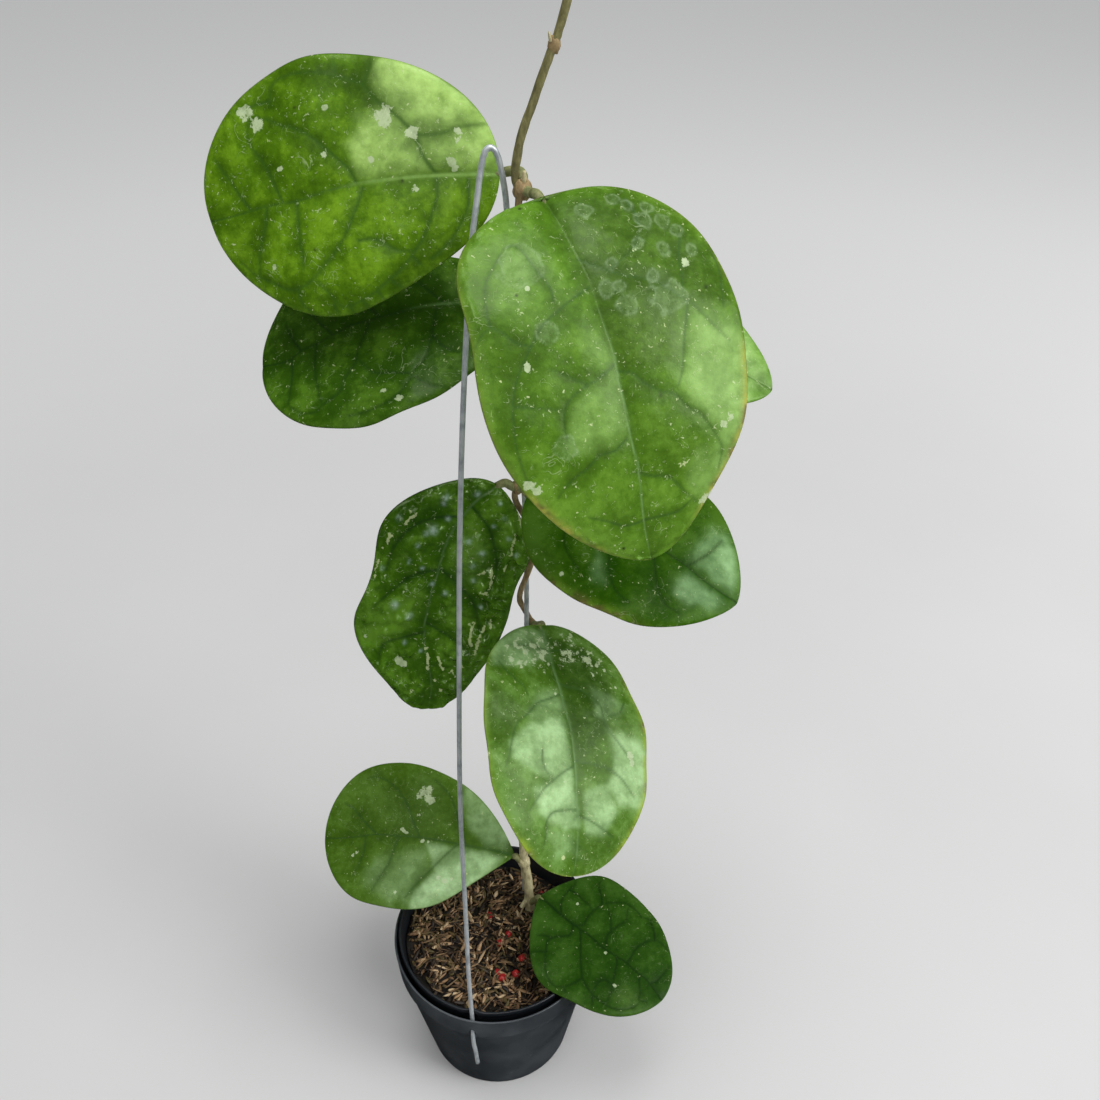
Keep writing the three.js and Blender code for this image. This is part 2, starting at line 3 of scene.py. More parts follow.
import bpy
import numpy as np
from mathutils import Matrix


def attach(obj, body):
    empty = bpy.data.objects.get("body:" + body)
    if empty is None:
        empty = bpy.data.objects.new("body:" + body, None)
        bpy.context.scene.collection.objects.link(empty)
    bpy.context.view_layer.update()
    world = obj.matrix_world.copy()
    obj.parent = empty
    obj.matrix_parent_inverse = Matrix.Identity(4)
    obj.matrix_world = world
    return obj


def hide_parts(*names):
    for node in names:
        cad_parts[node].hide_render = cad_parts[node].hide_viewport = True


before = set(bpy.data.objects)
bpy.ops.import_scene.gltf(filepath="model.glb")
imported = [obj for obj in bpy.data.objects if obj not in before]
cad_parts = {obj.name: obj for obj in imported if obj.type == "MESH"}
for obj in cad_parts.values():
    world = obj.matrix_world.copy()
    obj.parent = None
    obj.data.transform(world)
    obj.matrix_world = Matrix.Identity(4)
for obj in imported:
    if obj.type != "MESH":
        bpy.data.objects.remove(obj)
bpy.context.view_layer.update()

# The finished surfaces, light and camera of a potted hoya on a wire hoop. Lengths in
# the tables are millimetres; the meshes are in metres.
MM = 0.001


# ------------------------------------------------------------------ camera and light

CAMERA_PLACE = (0.0115, -0.295, 0.500)
CAMERA_TURN = (53.4, 0.0, -2.5)  # degrees; 90 less the first is how far it looks down
SOFT_BOXES = {  # place, target, width and height in metres, power in watts
    "overhead_box": ((0.02, -0.12, 1.45), (-0.01, 0, 0.2), 0.55, 0.45, 5.0),
    "right_box": ((1.28, -0.75, 1.46), (0.02, 0, 0.32), 0.60, 1.35, 15.0),
    "right_low_box": ((1.55, -0.22, 0.95), (0.02, 0, 0.22), 0.75, 0.70, 5.5),
    "front_left_box": ((-0.35, -0.86, 1.14), (-0.02, 0.04, 0.40), 0.45, 0.42, 0.9)}


def add_object(name, data):
    """A new object in the scene."""
    thing = bpy.data.objects.new(name, data)
    bpy.context.scene.collection.objects.link(thing)
    return thing


def aim_camera():
    """A camera at the photograph's place, half a metre up. The picture is as wide as
    its distance."""
    data = bpy.data.cameras.new("view_from_above")
    data.sensor_width = data.lens = 36.0
    data.clip_start, data.clip_end = 0.01, 50.0
    camera = add_object("view_from_above", data)
    camera.location = CAMERA_PLACE
    camera.rotation_euler = [math.radians(part) for part in CAMERA_TURN]
    bpy.context.scene.camera = camera


def soft_light(name, place, target, width, height, power):
    """A rectangular soft box at a place, turned to a target."""
    data = bpy.data.lights.new(name, "AREA")
    data.shape = "RECTANGLE"
    data.size, data.size_y = width, height
    data.energy = power
    away = np.array(place) - np.array(target)
    lamp = add_object(name, data)
    lamp.location = place
    lamp.rotation_euler = (
        math.acos(away[2] / np.linalg.norm(away)), 0.0, math.atan2(away[0], -away[1]))


def light_studio():
    """Two window-like boxes on the right, a weak one in front on the left, one
    overhead, and a dim room with an even fill, both of which give no reflections."""
    world = bpy.data.worlds.new("pale_room")
    world.use_nodes = True
    sky = world.node_tree.nodes["Background"]
    sky.inputs["Color"].default_value = (0.90, 0.92, 0.94, 1)
    sky.inputs["Strength"].default_value = 0.20
    bpy.context.scene.world = world
    world.cycles_visibility.glossy = False
    for name, settings in SOFT_BOXES.items():
        soft_light(name, *settings)
    data = bpy.data.lights.new("room_fill", "SUN")
    data.energy = 1.15
    data.angle = math.radians(120)
    add_object("room_fill", data).visible_glossy = False
    bpy.context.scene.view_settings.view_transform = "Standard"
    bpy.context.scene.view_settings.look = "None"


# ------------------------------------------------------------------ number work

def unit(vectors):
    """Vectors divided by their lengths, along the last axis."""
    return vectors / np.maximum(np.linalg.norm(vectors, axis=-1, keepdims=True), 1e-9)


def smooth_through(points, steps):
    """Cubic curve through the points. A point's direction is the mean of the slopes of
    its two neighbouring spans, each weighted by the other's length; between two points
    the Hermite cubic of both directions is read at equal steps."""
    p = np.asarray(points, float)
    gap = np.linalg.norm(np.diff(p, axis=0), axis=1)[:, None] + 1e-9
    slope = np.diff(p, axis=0) / gap
    inner = (slope[:-1] * gap[1:] + slope[1:] * gap[:-1]) / (gap[:-1] + gap[1:])
    way = np.vstack([slope[:1], inner, slope[-1:]])
    u = (np.arange(steps) / steps)[None, :, None]
    leave, arrive = (way[:-1] * gap)[:, None], (way[1:] * gap)[:, None]
    curve = ((2 * u ** 3 - 3 * u ** 2 + 1) * p[:-1, None] + (u ** 3 - 2 * u ** 2 + u) * leave
             + (3 * u ** 2 - 2 * u ** 3) * p[1:, None] + (u ** 3 - u ** 2) * arrive)
    return np.vstack([curve.reshape(-1, p.shape[1]), p[-1:]])


def ease(u):
    """From 0 to 1 by 3u^2 - 2u^3."""
    return u * u * (3 - 2 * u)


def soft_noise(x, y, size, seed):
    """Smooth noise from -1 to 1: random numbers on a square lattice of the given size,
    blended between the four corners with 3u^2 - 2u^3."""
    lattice = np.random.default_rng(seed).uniform(-1, 1, (64, 64))
    x, y = x / size + 16.3, y / size + 16.7
    i, j = np.floor(x).astype(int), np.floor(y).astype(int)
    u, w = ease(x - i), ease(y - j)
    i, j, i1, j1 = i % 64, j % 64, (i + 1) % 64, (j + 1) % 64
    low = lattice[i, j] * (1 - u) + lattice[i1, j] * u
    high = lattice[i, j1] * (1 - u) + lattice[i1, j1] * u
    return low * (1 - w) + high * w


def way_to_path(x, y, path):
    """Distance of flat points to a polyline, and the share of the polyline's points
    passed at the nearest place: the nearest point of every segment, then the least."""
    start, step = path[:-1], np.diff(path, axis=0)
    px, py = x.reshape(-1, 1) - start[:, 0], y.reshape(-1, 1) - start[:, 1]
    along = np.clip((px * step[:, 0] + py * step[:, 1])
                    / np.maximum((step ** 2).sum(1), 1e-9), 0, 1)
    gap = np.hypot(px - along * step[:, 0], py - along * step[:, 1])
    nearest = gap.argmin(1)
    rows = np.arange(len(gap))
    share = (nearest + along[rows, nearest]) / len(step)
    return gap[rows, nearest].reshape(x.shape), share.reshape(x.shape)


# ------------------------------------------------------------------ mesh making

def put_piece(name, points, faces, material, slot, replaced=(), tones=None, flat=None):
    """Writes points and faces into a mesh, turns the faces outwards if the enclosed
    volume (sum of p . (q x r) over the faces) is negative, and rides it on the body."""
    faces = [np.asarray(f) for f in faces if len(f)]
    volume = 0.0
    for block in faces:
        a, b, c = points[block[:, 0]], points[block[:, 1]], points[block[:, 2]]
        volume += np.einsum("ij,ij", a, np.cross(b, c))
        if block.shape[1] == 4:
            volume += np.einsum("ij,ij", a, np.cross(c, points[block[:, 3]]))
    if volume < 0:
        faces = [block[:, ::-1] for block in faces]
    mesh = bpy.data.meshes.new(name)
    mesh.from_pydata((points * MM).tolist(), [], [f for b in faces for f in b.tolist()])
    mesh.polygons.foreach_set("use_smooth", np.ones(len(mesh.polygons), bool))
    for key, values in (tones or {}).items():
        layer = mesh.attributes.new(key, "FLOAT", "POINT")
        layer.data.foreach_set("value", np.asarray(values, np.float32).ravel())
    if flat is not None:
        corners = np.empty(len(mesh.loops), np.int32)
        mesh.loops.foreach_get("vertex_index", corners)
        layer = mesh.uv_layers.new(name="flat_blade")
        layer.data.foreach_set("uv", (flat[corners] / 100).astype(np.float32).ravel())
    mesh.materials.append(material)
    mesh.update()
    piece = add_object(name, mesh)
    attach(piece, "root")
    if replaced:
        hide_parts(*replaced)


def closed_rings(rings, first, last):
    """Points and faces of a closed skin: rings of equal count joined by quads, and a fan
    from a single point at each end."""
    rows, count = rings.shape[:2]
    points = np.vstack([rings.reshape(-1, 3), first, last])
    here = np.arange(count)
    after = (here + 1) % count
    base = (np.arange(rows - 1) * count)[:, None]
    quads = np.stack([base + here, base + after, base + count + after,
                      base + count + here], -1).reshape(-1, 4)
    end = (rows - 1) * count
    fans = np.vstack([
        np.stack([np.full(count, rows * count), after, here], 1),
        np.stack([np.full(count, rows * count + 1), end + here, end + after], 1)])
    return points, [quads, fans]


def joined(parts):
    """Several lists of points and faces as one."""
    points, blocks, offset = [], {}, 0
    for some, faces in parts:
        points.append(some)
        for block in faces:
            blocks.setdefault(block.shape[1], []).append(block + offset)
        offset += len(some)
    return np.vstack(points), [np.vstack(b) for b in blocks.values()]


def carried_section(path, radii, sides=14):
    """Round section carried along a path. Each station's first direction is the one
    before it with the part along the new tangent taken away, so the section does not
    twist; a point is the station + radius (cos a first + sin a second). The radii are
    given per station, or per station and side."""
    path = np.asarray(path, float)
    tangent = unit(np.gradient(path, axis=0))
    first = np.empty_like(path)
    guess = np.cross(tangent[0], [0.31, 0.82, 0.47])
    for station, ahead in enumerate(tangent):
        guess = unit(guess - ahead * (guess @ ahead))
        first[station] = guess
    second = np.cross(tangent, first)
    angle = 2 * np.pi * np.arange(sides) / sides
    reach = radii if np.ndim(radii) == 2 else np.asarray(radii, float)[:, None]
    rings = path[:, None] + reach[..., None] * (
        np.cos(angle)[None, :, None] * first[:, None]
        + np.sin(angle)[None, :, None] * second[:, None])
    return closed_rings(rings, path[0], path[-1])


def knob(centre, radius, stretch, seed, rows=16, count=22):
    """Lumpy ball: a sphere's grid, its radius times 1 plus soft noise over its surface,
    stretched along Z."""
    up = np.pi * np.arange(1, rows) / rows
    around = 2 * np.pi * np.arange(count) / count
    up, around = np.meshgrid(up, around, indexing="ij")
    x, y, z = np.sin(up) * np.cos(around), np.sin(up) * np.sin(around), np.cos(up) * stretch
    lump = 1 + 0.16 * soft_noise(4 * x + 2 * z, 4 * y - z, 1.3, seed)
    rings = np.array(centre) + radius * lump[..., None] * np.stack([x, y, z], -1)
    pole = np.array([0, 0, radius * stretch])
    return closed_rings(rings, centre + pole, centre - pole)


# ------------------------------------------------------------------ materials

class Tone:
    """A value inside a material, on which sums can be written out as on a number."""

    def __init__(self, finish, socket):
        self.finish, self.socket = finish, socket

    def sum(self, kind, *values):
        node = self.finish.nodes.new("ShaderNodeMath")
        node.operation = kind
        for socket, value in zip(node.inputs, values):
            self.finish.give(socket, value)
        return Tone(self.finish, node.outputs[0])

    def __add__(self, other):
        return self.sum("ADD", self, other)

    def __sub__(self, other):
        return self.sum("SUBTRACT", self, other)

    def __rsub__(self, other):
        return self.sum("SUBTRACT", other, self)

    def __mul__(self, other):
        return self.sum("MULTIPLY", self, other)

    def __pow__(self, other):
        return self.sum("POWER", self, other)

    def __abs__(self):
        return self.sum("ABSOLUTE", self)

    def most(self, other):
        return self.sum("MAXIMUM", self, other)

    def held(self):
        """The last sum, held between 0 and 1."""
        self.socket.node.use_clamp = True
        return self


class Finish:
    """A procedural material, put together from small named steps."""

    def __init__(self, name):
        self.material = bpy.data.materials.new(name)
        self.material.use_nodes = True
        self.nodes = self.material.node_tree.nodes
        self.links = self.material.node_tree.links
        self.shader = self.nodes["Principled BSDF"]
        self.place = Tone(self, self.nodes.new("ShaderNodeTexCoord").outputs["Object"])

    def give(self, socket, value):
        if isinstance(value, Tone):
            self.links.new(value.socket, socket)
        elif np.ndim(value):
            filler = (1,) * (len(socket.default_value) - len(value))
            socket.default_value = tuple(value) + filler
        else:
            socket.default_value = value

    def step(self, kind, output, inputs, **settings):
        """One node: its settings, then its inputs by name or number, in order."""
        node = self.nodes.new("ShaderNode" + kind)
        for key, value in settings.items():
            setattr(node, key, value)
        for key, value in inputs.items():
            self.give(node.inputs[key], value)
        return Tone(self, node.outputs[output])

    def tones(self, *names):
        return [self.step("Attribute", "Fac", {}, attribute_name=name) for name in names]

    def blade_plane(self):
        return self.step("UVMap", "UV", {}, uv_map="flat_blade")

    def noise(self, scale, detail=4.0, rough=0.55, where=None, twist=0.0):
        return self.step("TexNoise", "Fac", {"Vector": where or self.place, "Scale": scale,
                                             "Detail": detail, "Roughness": rough,
                                             "Distortion": twist})

    def dots(self, scale, sharp, most=None, size=None, where=None):
        """Round dots in the cells of a scatter. A dot's size is most times the fourth
        power of its cell's own number, or the same size for all."""
        node = self.nodes.new("ShaderNodeTexVoronoi")
        self.give(node.inputs["Vector"], where or self.place)
        self.give(node.inputs["Scale"], scale)
        if most is not None:
            size = Tone(self, node.outputs["Color"]) ** 4.0 * most
        return ((size - Tone(self, node.outputs["Distance"])) * sharp).held()

    def near(self, place):
        """Distance from a place."""
        return self.step("VectorMath", "Value", {0: self.place, 1: place},
                         operation="DISTANCE")

    def reach(self, value, low, high, to_low=0.0, to_high=1.0):
        """Eased from to_low to to_high while the value goes from low to high."""
        return self.step("MapRange", 0, {0: value, 1: low, 2: high, 3: to_low, 4: to_high},
                         interpolation_type="SMOOTHSTEP")

    def blend(self, share, first, second):
        return self.step("Mix", 2, {0: share, 6: first, 7: second}, data_type="RGBA")

    def ramp(self, value, *stops):
        node = self.nodes.new("ShaderNodeValToRGB")
        band = node.color_ramp
        band.elements[0].position, band.elements[1].position = stops[0][0], stops[-1][0]
        for place, _ in stops[1:-1]:
            band.elements.new(place)
        for element, (_, colour) in zip(band.elements, stops):
            element.color = tuple(colour) + (1,)
        self.give(node.inputs[0], value)
        return Tone(self, node.outputs[0])

    def bump(self, height, distance, strength=1.0, under=None):
        inputs = {"Height": height, "Distance": distance, "Strength": strength}
        if under is not None:
            inputs["Normal"] = under
        return self.step("Bump", 0, inputs)

    def surface(self, **values):
        for name, value in values.items():
            self.give(self.shader.inputs[name.replace("_", " ")], value)
        return self.material


def leaf_finish(name, deep, mid, pale, vein, midrib, edge, flecks=1.0,
                bloom=(0.30, 0.50, 0.14), gold=(0.42, 0.40, 0.07), gloss=0.34, coat=0.10,
                shine=0.45, water=1.0, pucker=1.0):
    """Waxy leaf: green in three depths by slow noise, puckers and the cells between the
    veins, each cell paler in its middle and darker beside the veins as painted shade of
    its quilting; darker in the painted shade outlines and paler in the outlines of
    painted highlights; dark side veins, another tone along the midrib and the margin,
    brown and gold at the margin, a dull lower face with pale veins. On it lie rings like
    small blisters, painted highlights on the tops of the blisters, white flecks, dots,
    watery strokes and the outlines where drops dried, crust, dark specks, and streaks
    whose pale colour paints the highlights along their raised ridges.
    Gloss is the roughness, shine the specular level, water the strength of the strokes
    and dried drops, and pucker the share and depth of the folds."""
    f = Finish(name)
    flat = f.blade_plane()
    cell, lines, rib, under = f.tones("cell", "vein", "midrib", "underside")
    slow, folds, mottle = f.noise(30, 2, 0.5), f.noise(125, 2, 0.5), f.noise(330, 5, 0.72)
    # The cell tone makes each cell paler in its middle and darker beside the veins: painted shade of
    # the quilted relief.
    depth = (slow * 0.60 + folds * (0.50 * pucker) + cell * 0.22 + mottle * 0.78
             - (0.335 + 0.25 * (pucker - 1)))
    green = f.ramp(depth, (0.44, deep), (0.70, mid), (0.96, pale))

    def over(share, colour):
        return f.blend(share, green, colour)

    shade, painted_highlight, margin, gilt = f.tones("shade", "bloom", "margin", "gold")
    green = over(shade * f.reach(mottle, 0.3, 0.7, 0.9, 0.6), [0.62 * part for part in deep])
    # Painted highlights: the outlined patches turn a paler, greener colour, broken up by the mottle
    # and the folds.
    shown = f.reach(mottle, 0.25, 0.7, 0.62, 1.0) * f.reach(folds, 0.36, 0.62, 0.58, 1.0)
    green = over(painted_highlight * shown, bloom)
    green = over((lines * 0.85).held(), vein)
    green = over(rib * f.reach(f.noise(240, 3), 0.3, 0.6, 0.55, 1.0), midrib)
    green = over(margin * f.reach(f.noise(60, 3), 0.35, 0.6, 0.25, 0.8), edge)
    brown = f.blend(f.reach(f.noise(130, 3), 0.48, 0.60), gold, (0.20, 0.13, 0.05))
    green = over(gilt * f.reach(f.noise(420, 4, 0.7), 0.30, 0.52), brown)
    back = f.ramp(depth, (0.40, (0.110, 0.200, 0.046)), (0.70, (0.160, 0.270, 0.076)),
                  (1.0, (0.240, 0.365, 0.125)))
    back = f.blend((lines.most(rib) * 0.60).held(), back, (0.32, 0.44, 0.18))
    green = over(under * 0.85, back)

    ragged = f.noise(700, 3, 0.6, twist=0.5)
    fleck = f.reach(ragged, 0.645, 0.675) * f.reach(f.noise(75, 3, 0.6), 0.47, 0.60)
    dot = f.dots(70, 14, most=0.30 * flecks ** 0.5, where=flat)
    stroke = (f.reach(abs(f.noise(300, 2, 0.5, twist=1.0) - 0.5), 0.0, 0.016, 1.0, 0.0)
              * f.reach(f.noise(420, 2), 0.56, 0.64, 0.0, 0.42 * water))
    dried = (f.reach(abs(f.noise(165, 2, 0.5, twist=0.8) - 0.56), 0.0, 0.012, 1.0, 0.0)
             * f.reach(f.noise(95, 2), 0.54, 0.66, 0.0, 0.34 * water))
    ring, blister, torn, dark, tan, streak = f.tones(
        "ring", "blister", "crust", "dark_spot", "tan_spot", "streak")
    ringed = ring * f.reach(mottle, 0.3, 0.6, 0.04, 0.28)
    green = over(ringed, (0.42, 0.56, 0.34))
    # Painted highlights: a pale bluish tint on the tops of the raised blisters.
    green = over(blister * f.reach(mottle, 0.3, 0.65, 0.05, 0.75), (0.46, 0.60, 0.56))
    white = (fleck * (0.62 * flecks)).most(dot * (0.60 * flecks)).most(dried.most(stroke))
    white = white * (1.0 - under * 0.8)
    green = over(white, (0.52, 0.64, 0.34))
    crusty = f.reach(torn + (f.noise(360, 5, 0.75) - 0.5) * 2.1, 0.62, 0.72)
    green = over(crusty * f.reach(mottle, 0.3, 0.6, 0.55, 0.9), (0.50, 0.60, 0.36))
    green = over(dark, (0.012, 0.018, 0.006))
    # Tan spots are pale marks of the leaf's own; along the streaks the same pale colour is a painted
    # highlight on their raised ridges.
    scar_and_glint = f.reach(tan.most(streak) + (ragged - 0.5) * 3.2, 0.55, 0.75)
    green = over(scar_and_glint * 0.70, (0.60, 0.68, 0.34))

    grain = f.bump(folds, 0.0012 * pucker, 0.30)
    grain = f.bump(f.noise(900, 4, 0.6), 0.00010, 0.5, grain)
    grain = f.bump(f.noise(260, 4, 0.6), 0.00035, 0.45, grain)
    grain = f.bump(white.most(ringed * 2.0), 0.00014, 0.6, grain)
    rough = mottle * 0.14 + (gloss - 0.07) + crusty.most(under) * 0.25
    return f.surface(Base_Color=green, Roughness=rough, Normal=grain, Coat_Weight=coat,
                     Coat_Roughness=0.22, Specular_IOR_Level=shine,
                     Specular_Tint=(0.76, 1.0, 0.52, 1.0))


def pot_finish(name, dark, light):
    """Moulded plastic: near-black with slow dusty patches, small round specks of dust
    and a faint grain; duller where it is dusty."""
    f = Finish(name)
    dusty = f.reach(f.noise(26, 5, 0.6), 0.35, 0.75)
    fine = f.noise(420, 4, 0.6)
    colour = f.blend(((dusty + fine * 0.5) * 0.6).held(), dark, light)
    colour = f.blend(f.dots(260, 8, most=0.35) * 0.35, colour, (0.22, 0.21, 0.19))
    return f.surface(Base_Color=colour, Roughness=dusty * 0.18 + 0.38,
                     Normal=f.bump(fine, 0.00008, 0.5), Specular_IOR_Level=0.7,
                     Coat_Weight=0.30, Coat_Roughness=0.36)


def wire_finish():
    """Galvanised steel: blue-white zinc with cloudy spangles and dull streaks. It is
    partly non-metallic, so that it isn't dark where it faces the floor."""
    f = Finish("galvanised_wire")
    cloud = f.noise(240, 4, 0.6)
    colour = f.ramp(cloud, (0.32, (0.58, 0.64, 0.68)), (0.52, (0.84, 0.90, 0.93)),
                    (0.75, (0.95, 0.98, 1.0)))
    return f.surface(Base_Color=colour, Metallic=0.62,
                     Roughness=f.reach(cloud, 0.3, 0.7, 0.44, 0.56),
                     Normal=f.bump(f.noise(1500, 3), 0.00005, 0.5))


def bark_finish(name, light, middle, dark, grain=1.0):
    """Corky stem: light ridges and dark furrows by stretched noise, small pale dots."""
    f = Finish(name)
    stretch = f.step("Mapping", 0, {"Scale": (1, 1, 0.35), "Vector": f.place})
    ridges = f.noise(520, 6, 0.7, stretch, 0.4)
    colour = f.ramp(ridges, (0.32, dark), (0.50, middle), (0.72, light))
    colour = f.blend(f.dots(700, 6, size=0.22) * 0.45, colour, light)
    return f.surface(Base_Color=colour, Roughness=0.72,
                     Normal=f.bump(ridges, 0.0006 * grain, 0.8))


def mix_finish(name, *stops, rough=0.8):
    """Husk and coir: each chip's own tone from its number, streaked along and specked."""
    f = Finish(name)
    streak = f.noise(700, 5, 0.7)
    colour = f.ramp(f.tones("own_tone")[0] + (streak - 0.5) * 0.45, *stops)
    return f.surface(Base_Color=colour, Roughness=rough, Normal=f.bump(streak, 0.0003, 0.6))


def bead_finish():
    """Red feed beads: waxy red, orange in cloudy patches."""
    f = Finish("feed_beads")
    cloud = f.noise(500, 4, 0.6)
    colour = f.ramp(cloud, (0.35, (0.24, 0.008, 0.010)), (0.6, (0.46, 0.020, 0.018)),
                    (0.8, (0.60, 0.10, 0.05)))
    return f.surface(Base_Color=colour, Roughness=0.38, Coat_Weight=0.3,
                     Normal=f.bump(cloud, 0.0002, 0.5))


def floor_finish():
    """Pale matt floor with a barely visible cloud, and painted light and shade that even
    out its lighting: painted paler far away, where less of the boxes' light reaches, and
    painted greyer under the right boxes, where their light is strongest."""
    f = Finish("pale_floor")
    colour = f.ramp(f.noise(3, 4, 0.5), (0.3, (0.62, 0.62, 0.615)), (0.7, (0.66, 0.66, 0.655)))
    # Painted light: paler away from the pot, where the boxes light the floor less.
    colour = f.blend(f.reach(f.near((0, 0, 0)), 0.25, 1.3), colour, (0.84, 0.84, 0.835))
    # Painted shade: greyer under the right boxes, where their light is strongest.
    colour = f.blend(f.reach(f.near((1.45, -0.45, 0)), 0.45, 1.15, 0.85, 0.0), colour,
                     (0.33, 0.33, 0.328))
    return f.surface(Base_Color=colour, Roughness=0.85)
